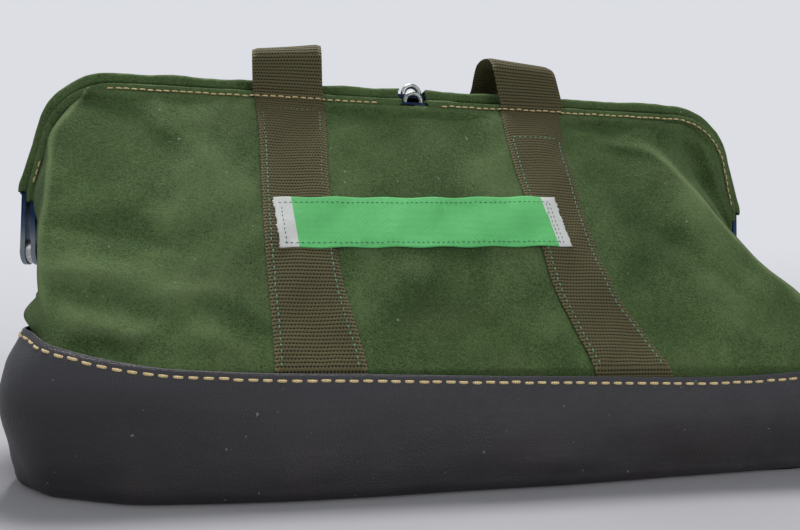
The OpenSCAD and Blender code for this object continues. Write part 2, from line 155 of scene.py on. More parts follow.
class Shader:
    """A material's node tree with one method that makes any node."""

    def __init__(self, name: str) -> None:
        """Starts a material with a Principled shader.

        Args:
            name: the material's name.
        """
        self.material = bpy.data.materials.new(name)
        self.material.use_nodes = True
        self.nodes = self.material.node_tree.nodes
        self.links = self.material.node_tree.links
        self.nodes.clear()
        self.output = self.nodes.new("ShaderNodeOutputMaterial")
        self.body = self.nodes.new("ShaderNodeBsdfPrincipled")
        self.links.new(self.body.outputs[0], self.output.inputs[0])

    def add(self, kind: str, settings: Optional[Dict[str, Any]] = None,
            inputs: Optional[Dict[Any, Any]] = None, out: Any = 0) -> Sock:
        """Makes one node.

        Args:
            kind: the node's type.
            settings: attributes set first; stops is a ramp's list of place and colour.
            inputs: values or links by socket name or number.
            out: which output is handed back.

        Returns:
            The chosen output.
        """
        node = self.nodes.new(kind)
        for key, value in (settings or {}).items():
            if key == "stops":
                ramp = node.color_ramp
                while len(ramp.elements) < len(value):
                    ramp.elements.new(0.5)
                for element, (place, colour) in zip(ramp.elements, value):
                    element.position = place
                    element.color = (*colour, 1.0) if len(colour) == 3 else colour
            else:
                setattr(node, key, value)
        for key, value in (inputs or {}).items():
            if isinstance(value, Sock):
                self.links.new(value.link, node.inputs[key])
            else:
                node.inputs[key].default_value = value
        return Sock(self, node.outputs[out])

    def place(self, scale: Tuple[float, float, float] = (1.0, 1.0, 1.0)) -> Sock:
        """The point on the piece, stretched by scale.

        Args:
            scale: stretch along x, y and z.

        Returns:
            The point's vector.
        """
        point = self.add("ShaderNodeTexCoord", out="Object")
        if scale == (1.0, 1.0, 1.0):
            return point
        return self.add("ShaderNodeVectorMath", {"operation": "MULTIPLY"}, {0: point, 1: scale})

    def axis(self, number: int) -> Sock:
        """One coordinate of the point on the piece, in metres: 0 for x, 1 for y and 2 for z."""
        return self.add("ShaderNodeSeparateXYZ", None, {0: self.place()}, number)

    def uv(self) -> Tuple[Sock, Sock]:
        """The piece's own UV map, in metres across and along.

        Returns:
            Its two coordinates.
        """
        uv = self.add("ShaderNodeUVMap", {"uv_map": "UVMap"})
        return (self.add("ShaderNodeSeparateXYZ", None, {0: uv}, 0),
                self.add("ShaderNodeSeparateXYZ", None, {0: uv}, 1))

    def noise(self, scale: float, detail: float = 2.0, rough: float = 0.5,
              at: Optional[Sock] = None) -> Sock:
        """Noise value between 0 and 1 at so many cells a metre.

        Args:
            scale: cells a metre.
            detail: layers.
            rough: weight of the finer layers.
            at: where it is read, else at the point on the piece.

        Returns:
            The value.
        """
        return self.add("ShaderNodeTexNoise", {"noise_dimensions": "3D"},
                        {"Vector": at or self.place(), "Scale": scale, "Detail": detail,
                         "Roughness": rough}, "Fac")

    def mix(self, factor: Any, a: Any, b: Any) -> Sock:
        """Colour between a and b.

        Args:
            factor: 0 for a, 1 for b.
            a: first colour.
            b: second colour.

        Returns:
            The colour.
        """
        node = self.nodes.new("ShaderNodeMix")
        node.data_type = "RGBA"
        for socket, value in zip((node.inputs[0], node.inputs[6], node.inputs[7]), (factor, a, b)):
            if isinstance(value, Sock):
                self.links.new(value.link, socket)
            else:
                socket.default_value = (*value, 1.0) if isinstance(value, tuple) else value
        return Sock(self, node.outputs[2])

    def bump(self, height: Any, distance: float, strength: float = 1.0,
             below: Optional[Sock] = None) -> Sock:
        """A Bump node for a height in units of distance metres.

        Args:
            height: the height.
            distance: metres for a height of 1.
            strength: share of the effect.
            below: normal it is laid on.

        Returns:
            The normal.
        """
        inputs = {"Height": height, "Distance": distance, "Strength": strength}
        if below is not None:
            inputs["Normal"] = below
        return self.add("ShaderNodeBump", None, inputs)

    def finish(self, **sockets: Any) -> bpy.types.Material:
        """Sets the shader's sockets, with _ for a space in a name.

        Args:
            sockets: values or links by socket name.

        Returns:
            The material.
        """
        for key, value in sockets.items():
            socket = self.body.inputs[key.replace("_", " ")]
            if isinstance(value, Sock):
                self.links.new(value.link, socket)
            elif isinstance(value, tuple) and len(value) == 3 and socket.type == "RGBA":
                socket.default_value = (*value, 1.0)
            else:
                socket.default_value = value
        return self.material


# --------------------------------------------------------------------- finishes


def srgb(r: float, g: float, b: float) -> Colour:
    """Linear colour of a display colour given from 0 to 255.

    Args:
        r: red.
        g: green.
        b: blue.

    Returns:
        Red, green and blue from 0 to 1.
    """
    c = np.array([r, g, b], float) / 255.0
    c = np.where(c <= 0.04045, c / 12.92, ((c + 0.055) / 1.055) ** 2.4)
    return tuple(float(v) for v in c)


@dataclass(frozen=True)
class CanvasFinish:
    """Heavy brushed canvas: dull green, paler where it is rubbed and where highlights are painted along its
    creases, with lint and weave.
    """

    name: str = "green_canvas"
    deep: Colour = srgb(44, 64, 34)
    mid: Colour = srgb(77, 100, 57)
    worn: Colour = srgb(108, 128, 86)
    lint: Colour = srgb(168, 182, 156)

    def make(self) -> bpy.types.Material:
        """Mottles three greens, paints the raised parts and creases pale, as wear and as painted highlight,
        and adds a fine weave.

        Returns:
            The material.
        """
        s = Shader(self.name)
        broad = s.noise(9.0, 3.0, 0.55)
        cloud = s.noise(38.0, 4.0, 0.62)
        fibre = s.noise(900.0, 3.0, 0.7)
        pores = s.noise(420.0, 2.0, 0.6)
        # Paleness per point: wear, with painted highlights on creases and raised folds and painted light at
        # the front's lower left.
        worn = s.add("ShaderNodeAttribute", {"attribute_name": "worn"}, None, "Fac")
        tone = (broad - 0.5) * 1.2 + (cloud - 0.5) * 0.7 + (fibre - 0.5) * 2.4 + (pores - 0.5) * 1.1 + 0.55
        colour = s.mix(tone.above(0.0, 1.0), self.deep, self.mid)
        rub_and_painted_light = (worn * 1.1 + (cloud - 0.6) * 0.6 + (fibre - 0.5) * 1.2).above(0.0, 1.0)
        colour = s.mix(rub_and_painted_light, colour, self.worn)
        specks = s.noise(240.0, 1.0, 0.5).above(0.765, 0.02) * pores.above(0.5, 0.1)
        brown = s.noise(13.0, 3.0, 0.6, s.place((1.0, 1.0, 1.6))).above(0.54, 0.16)
        colour = s.mix(brown * 0.2, colour, srgb(88, 88, 62))
        colour = s.mix(specks * 0.7, colour, self.lint)
        x = s.axis(0)
        z = s.axis(2)
        weave = (x * 5200.0).sine() * (z * 5200.0).sine()
        height = weave * 0.06 + fibre * 0.9 + pores * 0.9 + cloud * 1.2
        return s.finish(Base_Color=colour, Roughness=0.93, Specular_IOR_Level=0.22,
                        Sheen_Weight=0.16, Sheen_Roughness=0.45, Sheen_Tint=srgb(150, 175, 130),
                        Normal=s.bump(height, 0.0011, 0.75))


@dataclass(frozen=True)
class WebbingFinish:
    """Ribbed cotton webbing: raised cross ribs, with painted shade in the pits between the yarns."""

    name: str
    yarn: Colour
    pit: Colour
    rib_pitch: float = 2.4
    yarn_pitch: float = 2.05

    def make(self) -> bpy.types.Material:
        """Ribs run across with their crowns painted lighter; painted shade lies in the pits between the
        yarns, half a yarn on in every second groove.

        Returns:
            The material.
        """
        s = Shader(self.name)
        u, v = s.uv()
        row = v * (1000.0 * np.pi / self.rib_pitch) + s.noise(50.0, 2.0) * 0.9
        rib = row.sine().size()
        turn = (row + np.pi / 2).sine().above(0.0, 0.1)
        yarn = (u * (1000.0 * np.pi / self.yarn_pitch) + turn * (np.pi / 2)).sine().size()
        # Painted shade: the pits between the yarns are coloured nearly black, and the ribs' crowns are
        # painted lighter.
        pit = (1.0 - rib.above(0.25, 0.5) * 0.92) * (1.0 - yarn.above(0.3, 0.45) * 0.92)
        fuzz = s.noise(1100.0, 3.0, 0.7)
        tone = 1.05 - pit * 2.4 + (rib - 0.6) * 0.5 + (fuzz - 0.5) * 0.8 + (s.noise(14.0, 3.0) - 0.5) * 0.7
        colour = s.mix(tone.above(0.0, 1.0), self.pit, self.yarn)
        height = rib * 0.6 - pit * 1.3 + fuzz * 0.4
        return s.finish(Base_Color=colour, Roughness=0.86, Specular_IOR_Level=0.3,
                        Sheen_Weight=0.2, Sheen_Roughness=0.4, Sheen_Tint=srgb(170, 150, 110),
                        Normal=s.bump(height, 0.0009, 0.8))


@dataclass(frozen=True)
class VinylFinish:
    """Dark coated cloth of the base band: satin, faintly clouded, scuffed low down, with painted light on
    its upper part and right end and painted shade at its lower left end.
    """

    name: str = "band_vinyl"
    dark: Colour = srgb(27, 26, 28)
    pale: Colour = srgb(50, 50, 55)
    scuff: Colour = srgb(112, 88, 82)

    def make(self) -> bpy.types.Material:
        """Clouds two greys, paints light on the upper part and a bluish reflection towards the right, paints
        shade at the lower left, and adds scuffs, reddish dirt low down and a fine leather-like grain.

        Returns:
            The material.
        """
        s = Shader(self.name)
        cloud = s.noise(16.0, 4.0, 0.6)
        fine = s.noise(700.0, 3.0, 0.65)
        streak = s.noise(26.0, 3.0, 0.6, s.place((0.35, 1.0, 2.4)))
        tone = cloud * 0.7 + streak * 0.6 + (fine - 0.5) * 0.35
        colour = s.mix(tone.above(0.38, 0.6), self.dark, self.pale)
        z = s.axis(2)
        x = s.axis(0)
        # Painted light: the upper part lighter, as lit from above, and a bluish painted reflection in clouds
        # towards the right end.
        sheen = z.above(0.03, 0.035) * 0.45 + x.above(0.05, 0.2) * (cloud - 0.2).above(0.2, 0.4) * 0.6
        colour = s.mix(sheen, colour, srgb(64, 65, 72))
        # Painted shade: darker at the left end, low down.
        colour = s.mix(x.below(-0.24, 0.14) * z.below(0.05, 0.02) * 0.6, colour, srgb(24, 23, 25))
        low = z.below(0.004, 0.03)
        dirt = s.noise(11.0, 3.0, 0.6).above(0.48, 0.2) * z.below(0.02, 0.03) * 0.5
        colour = s.mix(dirt, colour, srgb(62, 48, 47))
        marks = s.noise(95.0, 4.0, 0.7).above(0.62, 0.1) * s.noise(15.0, 2.0).above(0.5, 0.12) * low
        colour = s.mix(marks * 0.5, colour, self.scuff)
        specks = s.noise(330.0, 1.0).above(0.78, 0.02)
        colour = s.mix(specks * 0.5, colour, srgb(150, 148, 150))
        rough = 0.46 + (cloud - 0.5) * 0.25 + fine * 0.08 + marks * 0.2
        grain = s.add("ShaderNodeTexVoronoi", {"feature": "DISTANCE_TO_EDGE"},
                      {"Vector": s.place(), "Scale": 620.0}, "Distance")
        height = grain.above(0.0, 0.25) * 0.5 + fine * 0.4 + streak * 2.5
        return s.finish(Base_Color=colour, Roughness=rough, Specular_IOR_Level=0.42,
                        Normal=s.bump(height, 0.0006, 0.5))


@dataclass(frozen=True)
class ThreadFinish:
    """Twisted sewing thread."""

    name: str
    colour: Colour
    shade: Colour

    def make(self) -> bpy.types.Material:
        """Slanting ply lines along the thread's own UV map.

        Returns:
            The material.
        """
        s = Shader(self.name)
        u, v = s.uv()
        ply = ((v * 5200.0) + (u * 6.2832)).sine() * 0.5 + 0.5
        tone = ply * 0.6 + s.noise(300.0, 2.0) * 0.6
        colour = s.mix(tone.above(0.2, 0.7), self.shade, self.colour)
        return s.finish(Base_Color=colour, Roughness=0.6, Specular_IOR_Level=0.35,
                        Sheen_Weight=0.15, Normal=s.bump(ply, 0.0003, 0.6))


@dataclass(frozen=True)
class LabelFinish:
    """Woven tape: a green field between pale ends, left bare."""

    name: str
    base: Colour
    shade: Colour

    def make(self) -> bpy.types.Material:
        """Fine weave with a slight cloud and yarn lines both ways.

        Returns:
            The material.
        """
        s = Shader(self.name)
        u, v = s.uv()
        warp = (u * 7800.0).sine() * 0.5 + 0.5
        weft = (v * 7800.0).sine() * 0.5 + 0.5
        cloud = s.noise(55.0, 3.0, 0.6)
        fuzz = s.noise(900.0, 2.0, 0.6)
        tone = cloud * 0.7 + warp * weft * 0.3 + (fuzz - 0.5) * 0.4
        colour = s.mix(tone.above(0.12, 0.75), self.shade, self.base)
        return s.finish(Base_Color=colour, Roughness=0.72, Specular_IOR_Level=0.3, Sheen_Weight=0.1,
                        Normal=s.bump(warp * weft + fuzz * 0.8 + cloud * 2.0, 0.0005, 0.6))


@dataclass(frozen=True)
class SteelFinish:
    """Flat-bar steel with a blue-black temper coat, bluer and then bright towards its lower end, and bright
    along scratches.
    """

    name: str = "blued_bar"
    coat: Colour = srgb(20, 26, 46)
    tint: Colour = srgb(40, 72, 110)
    bare: Colour = srgb(150, 158, 164)

    def make(self) -> bpy.types.Material:
        """Mixes coat, tint and bare metal by height and noise; rolled scratches in the bump.

        Returns:
            The material.
        """
        s = Shader(self.name)
        z = s.axis(2)
        cloud = s.noise(70.0, 4.0, 0.6)
        scratch = s.noise(260.0, 4.0, 0.7, s.place((1.0, 1.0, 0.12)))
        # Bluer and then bright metal towards the bar's lower end.
        low = (z + (cloud - 0.5) * 0.02).below(0.142, 0.018)
        mid = (z + (cloud - 0.5) * 0.02).below(0.155, 0.03)
        colour = s.mix((cloud - 0.2).above(0.1, 0.8) * 0.5 + mid * 0.6, self.coat, self.tint)
        colour = s.mix((low * 0.75 + scratch.above(0.62, 0.15) * 0.4).above(0.0, 1.0), colour, self.bare)
        rough = 0.28 + cloud * 0.2 + scratch * 0.12
        return s.finish(Base_Color=colour, Metallic=0.9, Roughness=rough,
                        Normal=s.bump(scratch * 0.7 + cloud, 0.0003, 0.4))


@dataclass(frozen=True)
class ZincFinish:
    """Bright zinc on rivets, washers and wire eyes, dulled in patches."""

    name: str
    bright: Colour = srgb(172, 178, 177)
    dull: Colour = srgb(98, 104, 102)

    def make(self) -> bpy.types.Material:
        """Patches of dull zinc over bright metal, with hammered dents.

        Returns:
            The material.
        """
        s = Shader(self.name)
        cloud = s.noise(180.0, 4.0, 0.65)
        fine = s.noise(1200.0, 2.0, 0.6)
        colour = s.mix((cloud + (fine - 0.5) * 0.4).above(0.38, 0.3), self.bright, self.dull)
        return s.finish(Base_Color=colour, Metallic=1.0, Roughness=0.2 + cloud * 0.25,
                        Normal=s.bump(cloud * 1.2 + fine * 0.4, 0.0005, 0.35))


@dataclass(frozen=True)
class BoardFinish:
    """Brown hardboard that stiffens the base."""

    name: str = "hardboard"

    def make(self) -> bpy.types.Material:
        """Pressed wood fibres in two browns.

        Returns:
            The material.
        """
        s = Shader(self.name)
        fibre = s.noise(160.0, 5.0, 0.7, s.place((0.5, 1.0, 1.0)))
        spot = s.noise(520.0, 3.0, 0.6)
        colour = s.mix((fibre * 0.8 + spot * 0.4).above(0.35, 0.5), srgb(104, 76, 50), srgb(150, 116, 80))
        return s.finish(Base_Color=colour, Roughness=0.7, Normal=s.bump(fibre + spot * 0.5, 0.0006, 0.5))


@dataclass(frozen=True)
class BackdropFinish:
    """Pale matt paper under and behind the bag, which the camera sees evenly lit."""

    colour: Colour = srgb(180, 180, 185)
    shade: Colour = srgb(171, 171, 176)
    shown: Colour = srgb(220, 222, 228)

    def make(self) -> bpy.types.Material:
        """Diffuse paper with a faint cloud.

        Returns:
            The material.
        """
        s = Shader("pale_paper")
        cloud = s.noise(2.2, 2.0, 0.5)
        tone = s.mix(cloud.above(0.3, 0.4), self.colour, self.shade)
        paper = s.finish(Base_Color=tone, Roughness=0.95, Specular_IOR_Level=0.1)
        far = s.axis(1).above(0.2, 0.9)
        seen = (s.add("ShaderNodeLightPath", out="Is Camera Ray")
                + s.add("ShaderNodeLightPath", out="Is Glossy Ray"))
        glow = s.add("ShaderNodeEmission", None, {"Color": (*self.shown, 1.0), "Strength": 1.0})
        both = s.add("ShaderNodeMixShader", None, {0: far * seen, 1: Sock(s, s.body.outputs[0]), 2: glow})
        s.links.new(both.link, s.output.inputs[0])
        return paper


# -------------------------------------------------------------------- geometry


def smooth(at: Array, knots: Sequence[float], values: Sequence[float]) -> Array:
    """Cubic through the knots: each slope is the mean of the slopes on its two sides.

    Args:
        at: places to read.
        knots: rising places of the known values.
        values: the known values.

    Returns:
        The values at the places, held at the ends.
    """
    k, v = np.asarray(knots, float), np.asarray(values, float)
    at = np.clip(np.asarray(at, float), k[0], k[-1])
    slope = np.gradient(v, k)
    i = np.clip(np.searchsorted(k, at, side="right") - 1, 0, len(k) - 2)
    h = k[i + 1] - k[i]
    t = (at - k[i]) / h
    t2, t3 = t * t, t ** 3
    return ((2 * t3 - 3 * t2 + 1) * v[i] + (t3 - 2 * t2 + t) * h * slope[i]
            + (3 * t2 - 2 * t3) * v[i + 1] + (t3 - t2) * h * slope[i + 1])


def ease(t: Array) -> Array:
    """3t^2 - 2t^3 on t held between 0 and 1."""
    t = np.clip(t, 0.0, 1.0)
    return t * t * (3.0 - 2.0 * t)


def bell(d: Array, width: float) -> Array:
    """exp(-(d / width)^2)."""
    return np.exp(-(d / width) ** 2)


def crease(x: Array, z: Array, a: Tuple[float, float], b: Tuple[float, float],
           width: float, depth: float) -> Array:
    """A straight fold that fades to its ends: depth * bell(distance) * sin(pi * place)^0.7.

    Args:
        x: across.
        z: up.
        a: where it starts.
        b: where it ends.
        width: half width.
        depth: height of the fold, negative for a valley.

    Returns:
        The offset of the cloth.
    """
    dx, dz = b[0] - a[0], b[1] - a[1]
    length = np.hypot(dx, dz)
    t = ((x - a[0]) * dx + (z - a[1]) * dz) / length ** 2
    d = ((x - a[0]) * dz - (z - a[1]) * dx) / length
    return depth * bell(d, width) * np.sin(np.pi * np.clip(t, 0.0, 1.0)) ** 0.7


def ripple(x: Array, z: Array, seed: int, scale: float, count: int = 9) -> Array:
    """Sum of plane waves of seeded direction and phase, each about scale long, over their count's root.

    Args:
        x: across.
        z: up.
        seed: which waves.
        scale: their length.
        count: how many.

    Returns:
        Heights of about 1.
    """
    rng = np.random.default_rng(seed)
    total = np.zeros(np.broadcast(x, z).shape)
    for angle, phase, stretch in zip(rng.uniform(0, np.pi, count), rng.uniform(0, 2 * np.pi, count),
                                     rng.uniform(0.6, 1.7, count)):
        k = 2 * np.pi / (scale * stretch)
        total = total + np.sin(k * (x * np.cos(angle) + z * np.sin(angle)) + phase)
    return total / np.sqrt(count)


def unit(v: Array) -> Array:
    """Vectors divided by their length."""
    return v / np.maximum(np.linalg.norm(v, axis=-1, keepdims=True), 1e-9)


def lengths(points: Array) -> Array:
    """Running length along a line of points, starting at 0."""
    return np.concatenate([[0.0], np.cumsum(np.linalg.norm(np.diff(points, axis=0), axis=1))])


def resample(points: Array, count: int) -> Array:
    """The same line as count points at equal lengths.

    Args:
        points: the line, n by any.
        count: how many points.

    Returns:
        count points.
    """
    run = lengths(points)
    at = np.linspace(0.0, run[-1], count)
    return np.stack([np.interp(at, run, points[:, i]) for i in range(points.shape[1])], 1)


class Build:
    """Turns grids of points into named Blender objects."""

    @staticmethod
    def mesh(name: str, points: Array, faces: Array, material: bpy.types.Material,
             uv: Optional[Array] = None, worn: Optional[Array] = None) -> bpy.types.Object:
        """Makes an object from quads.

        Args:
            name: the object's name.
            points: n by 3, millimetres.
            faces: m by 4 point numbers.
            material: its finish.
            uv: n by 2, metres.
            worn: n values from 0 to 1, how pale the cloth is painted, for wear and for painted highlight.

        Returns:
            The object.
        """
        data = bpy.data.meshes.new(name)
        data.from_pydata((points * MM).tolist(), [], faces.tolist())
        if uv is not None:
            layer = data.uv_layers.new(name="UVMap")
            layer.data.foreach_set("uv", uv[faces.ravel()].astype(np.float32).ravel())
        if worn is not None:
            rubbed = data.attributes.new("worn", "FLOAT", "POINT")
            rubbed.data.foreach_set("value", worn.astype(np.float32).ravel())
        data.polygons.foreach_set("use_smooth", np.ones(len(data.polygons), bool))
        data.materials.append(material)
        data.update()
        thing = bpy.data.objects.new(name, data)
        bpy.context.scene.collection.objects.link(thing)
        return thing

    @staticmethod
    def quads(rows: int, cols: int, wrap: bool = False, flip: bool = False) -> Array:
        """Point numbers of a grid's quads: rows by cols, wrapped across the columns where asked.

        Args:
            rows: rows of points.
            cols: points in a row.
            wrap: joins the last column to the first.
            flip: turns the faces round.

        Returns:
            Quads, n by 4.
        """
        r, c = np.meshgrid(np.arange(rows - 1), np.arange(cols if wrap else cols - 1), indexing="ij")
        n = (c + 1) % cols
        low, high = r * cols, (r + 1) * cols
        faces = np.stack([low + c, low + n, high + n, high + c], -1).reshape(-1, 4)
        return faces[:, ::-1] if flip else faces

    @classmethod
    def sheet(cls, name: str, grid: Array, material: bpy.types.Material, thick: float,
              uv: Optional[Array] = None, worn: Optional[Array] = None, wrap: bool = False,
              flip: bool = False, offset: float = -1.0) -> bpy.types.Object:
        """A grid of points made a sheet of cloth with a Solidify modifier.

        Args:
            name: the object's name.
            grid: rows by cols by 3, millimetres; outside where the grid's normals point.
            material: its finish.
            thick: thickness in millimetres, 0 for none.
            uv: rows by cols by 2, metres.
            worn: rows by cols, how pale the cloth is painted, for wear and for painted highlight.
            wrap: joins the last column to the first.
            flip: turns the faces round.
            offset: -1 thickens inwards, 1 outwards.

        Returns:
            The object.
        """
        rows, cols = grid.shape[:2]
        thing = cls.mesh(name, grid.reshape(-1, 3), cls.quads(rows, cols, wrap, flip), material,
                         None if uv is None else uv.reshape(-1, 2), None if worn is None else worn.ravel())
        if thick:
            wall = thing.modifiers.new("thickness", "SOLIDIFY")
            wall.thickness = thick * MM
            wall.offset = offset
            wall.use_rim = True
        return thing

    @staticmethod
    def declare(piece: bpy.types.Object, grid: Array, held: str, rests_on: Sequence[str]) -> None:
        """Does nothing: records no size, hold or support for the sheet.

        Args:
            piece: the sheet; not used.
            grid: its points, rows by columns by 3, millimetres; not used.
            held: how it is held; not used.
            rests_on: what it lies on or hangs from; not used.
        """


@dataclass
class StitchRow:
    """A row of lock stitches: short threads that dip into the cloth at both ends."""

    pitch: float = 7.0
    gap: float = 1.3
    radius: float = 0.55
    rise: float = 0.45
    rings: int = 7
    sides: int = 6

    def lay(self, path: Array, normal: Array, seed: int = 1) -> Tuple[Array, Array, Array]:
        """Places stitches along a line on a surface.

        A stitch is a round profile carried along a short arc: its middle stands rise above
        the cloth, its ends sink by a radius, and its radius follows a half ellipse.

        Args:
            path: the line, n by 3.
            normal: the surface's outward normal along it, n by 3.
            seed: for the small unevenness of hand-guided sewing.

        Returns:
            Points, quads and UVs.
        """
        run = lengths(path)
        count = max(1, int(run[-1] / self.pitch))
        rng = np.random.default_rng(seed)
        start = np.arange(count) * self.pitch + rng.uniform(-0.25, 0.25, count)
        long = (self.pitch - self.gap) * rng.uniform(0.93, 1.03, count)
        t = np.linspace(0.0, 1.0, self.rings)
        at = start[:, None] + long[:, None] * t[None, :]

        def read(values: Array, where: Array) -> Array:
            """Values along the path, read at running lengths."""
            return np.stack([np.interp(where, run, values[:, i]) for i in range(3)], -1)

        centre = read(path, at)
        up = unit(read(normal, at))
        along = unit(read(path, at + 0.4) - read(path, at - 0.4))
        across = unit(np.cross(up, along))
        centre = centre + across * rng.normal(0.0, 0.16, count)[:, None, None]
        lift = (self.rise + self.radius) * np.sin(np.pi * t) ** 0.55 - self.radius * 0.9
        centre = centre + up * lift[None, :, None]
        k = 2 * t - 1
        size = self.radius * np.sqrt(np.clip(1.0 - k ** 8, 0.02, 1.0)) * (1.0 - 0.25 * k ** 2)
        a = np.linspace(0.0, 2 * np.pi, self.sides, endpoint=False)
        ring = (across[:, :, None, :] * np.cos(a)[None, None, :, None]
                + up[:, :, None, :] * np.sin(a)[None, None, :, None] * 0.85)
        points = centre[:, :, None, :] + ring * size[None, :, None, None]
        faces = Build.quads(self.rings, self.sides, wrap=True)
        per = self.rings * self.sides
        caps = []
        for base in (0, per - self.sides):
            ids = base + np.arange(self.sides)
            quad = np.array([[ids[0], ids[1], ids[2], ids[3]], [ids[0], ids[3], ids[4], ids[5]]])
            caps.append(quad if base else quad[:, ::-1])
        faces = np.concatenate([faces] + caps)[:, ::-1]
        every = (faces[None] + (np.arange(count) * per)[:, None, None]).reshape(-1, 4)
        u = np.broadcast_to((a / (2 * np.pi))[None, None, :], points.shape[:3])
        v = np.broadcast_to(at[:, :, None] * MM, points.shape[:3])
        return points.reshape(-1, 3), every, np.stack([u, v], -1).reshape(-1, 2)

    def sew(self, name: str, rows: Sequence[Tuple[Array, Array]], material: bpy.types.Material,
            seed: int = 1) -> bpy.types.Object:
        """Makes one object of several rows.

        Args:
            name: the object's name.
            rows: a path and its normals for each row.
            material: the thread.
            seed: first seed.

        Returns:
            The object.
        """
        points, faces, uvs, total = [], [], [], 0
        for i, (path, normal) in enumerate(rows):
            p, f, uv = self.lay(path, normal, seed + i)
            points.append(p)
            faces.append(f + total)
            uvs.append(uv)
            total += len(p)
        return Build.mesh(name, np.concatenate(points), np.concatenate(faces), material, np.concatenate(uvs))


BAND_STITCH = StitchRow(8.0, 1.1, 0.85, 0.5)
HEM_STITCH = StitchRow(5.4, 0.55, 0.6, 0.35)
STRAP_STITCH = StitchRow(3.9, 1.1, 0.42, 0.25, 6)
LABEL_STITCH = StitchRow(3.4, 0.9, 0.28, 0.2, 6)


# ------------------------------------------------------------------ mouth frames


@dataclass(frozen=True)
class Mouth:
    """The two bent bars' middle lines, from their sizes in the frame."""

    shift: float = -26.0
    depth: float = 6.0
    pivot: float = 136.0
    splay: float = np.radians(15.0)
    upright: float = 38.0
    low_bend: float = 40.0
    corner: float = 48.0
    feet: Tuple[float, float] = (269.0, 276.0)
    rises: Tuple[float, float] = (117.0, 125.0)
    leans: Tuple[float, float] = (3.0, -2.5)

    def index(self, face: Face) -> int:
        """0 for the front bar and 1 for the rear one."""
        return 0 if face is Face.FRONT else 1

    def half(self, face: Face, off: float = 0.0, count: int = 200) -> Array:
        """Half of the bar's line in its own plane, foot first.

        Upright, then an arc to the splay, a straight run and the corner's arc to the top,
        each point moved outwards by off.

        Args:
            face: which bar.
            off: offset from the middle of the bar.
            count: points.

        Returns:
            count by 2, distance from the mouth's middle and height over the pivots.
        """
        foot, rise = self.feet[self.index(face)], self.rises[self.index(face)]
        s, c = np.sin(self.splay), np.cos(self.splay)
        leg = (rise - self.corner * (1 - s) - self.upright - self.low_bend * s) / c
        top = foot - self.low_bend * (1 - c) - leg * s - self.corner * c
        a = np.linspace(0, self.splay, 12)
        b = np.linspace(self.splay, np.pi / 2, 40)
        line = np.concatenate([
            [[foot + off, 0.0]],
            np.stack([foot - self.low_bend + (self.low_bend + off) * np.cos(a),
                      self.upright + (self.low_bend + off) * np.sin(a)], 1),
            np.stack([top + (self.corner + off) * np.cos(b),
                      rise - self.corner + (self.corner + off) * np.sin(b)], 1),
            [[0.0, rise + off]]])
        return resample(line, count)

    def stand(self, face: Face, x: Array, depth: Array, height: Array) -> Array:
        """Points of the bar's plane in the row frame: leaned about the pivots, then moved there.

        Args:
            face: which bar.
            x: distance from the mouth's middle.
            depth: distance off the bar's plane.
            height: height over the pivots.

        Returns:
            Points.
        """
        a = np.radians(self.leans[self.index(face)])
        return np.stack([self.shift + x, self.depth + depth * np.cos(a) - height * np.sin(a),
                         self.pivot + depth * np.sin(a) + height * np.cos(a)], -1)

    def edge_x(self, face: Face, z: Array, off: float) -> Array:
        """Distance from the mouth's middle to the bar's line, moved by off, at heights z.

        Args:
            face: which bar.
            z: heights.
            off: how far outside the bar's middle line.

        Returns:
            Distances.
        """
        line = self.half(face, off, 600)
        a = np.radians(self.leans[self.index(face)])
        return np.interp(z, self.pivot + line[:, 1] * np.cos(a), line[:, 0])


MOUTH = Mouth()
SWING = {Face.FRONT: "front_frame", Face.REAR: "rear_frame"}


def carry(piece: bpy.types.Object) -> None:
    """Bakes a piece's transform into its mesh."""
    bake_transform(piece)


# ---------------------------------------------------------------- canvas panels


@dataclass(frozen=True)
class HalfSizes:
    """Distances and heights of one half's cloth, in millimetres.

    The flat part ends at flat_y and flat_z, its belly is the bulge on the way, panel_top the
    cloth's edge, hem_z and hem_y where a strap leaves the cloth for the sleeve, strap_top where
    the grab loop goes on, step how far the hem's sewing climbs over a strap, and cross_seams
    the heights where the left and right strap are sewn across.
    """

    flat_y: float
    flat_z: float
    belly: float
    panel_top: float
    hem_z: float
    hem_y: float
    strap_top: float
    step: float
    cross_seams: Tuple[float, float]


HALVES = {Face.FRONT: HalfSizes(12.4, 249.6, 2.2, 250.5, 250.0, 13.1, 256.4, 2.95, (242.0, 227.0)),
          Face.REAR: HalfSizes(24.3, 257.7, 3.5, 258.6, 258.2, 25.3, 267.0, 3.8, (240.0, 240.0))}
CLOTH_FOOT = 60.0
BAND_SEAM = 70.0
CANVAS_THICK = 1.2
WEB_WIDTH = 50.0


def between(u: Array, v: Array, count: int, last: bool = False) -> Array:
    """Straight runs from points u to points v, count steps each: u * (1 - t) + v * t.

    Args:
        u: first points.
        v: last points.
        count: points in a run.
        last: ends each run on v.

    Returns:
        Points, one run a row.
    """
    t = np.linspace(0, 1, count, endpoint=last)[None, :, None]
    return u[:, None] * (1 - t) + v[:, None] * t


def curve(u: Array, m: Array, v: Array, count: int) -> Array:
    """Quadratic curves from u to v with corner m: u(1-t)^2 + 2mt(1-t) + vt^2.

    Args:
        u: first points.
        m: corners.
        v: last points.
        count: points in a curve.

    Returns:
        Points, one curve a row.
    """
    t = np.linspace(0, 1, count, endpoint=False)[None, :, None]
    return u[:, None] * (1 - t) ** 2 + m[:, None] * 2 * t * (1 - t) + v[:, None] * t ** 2


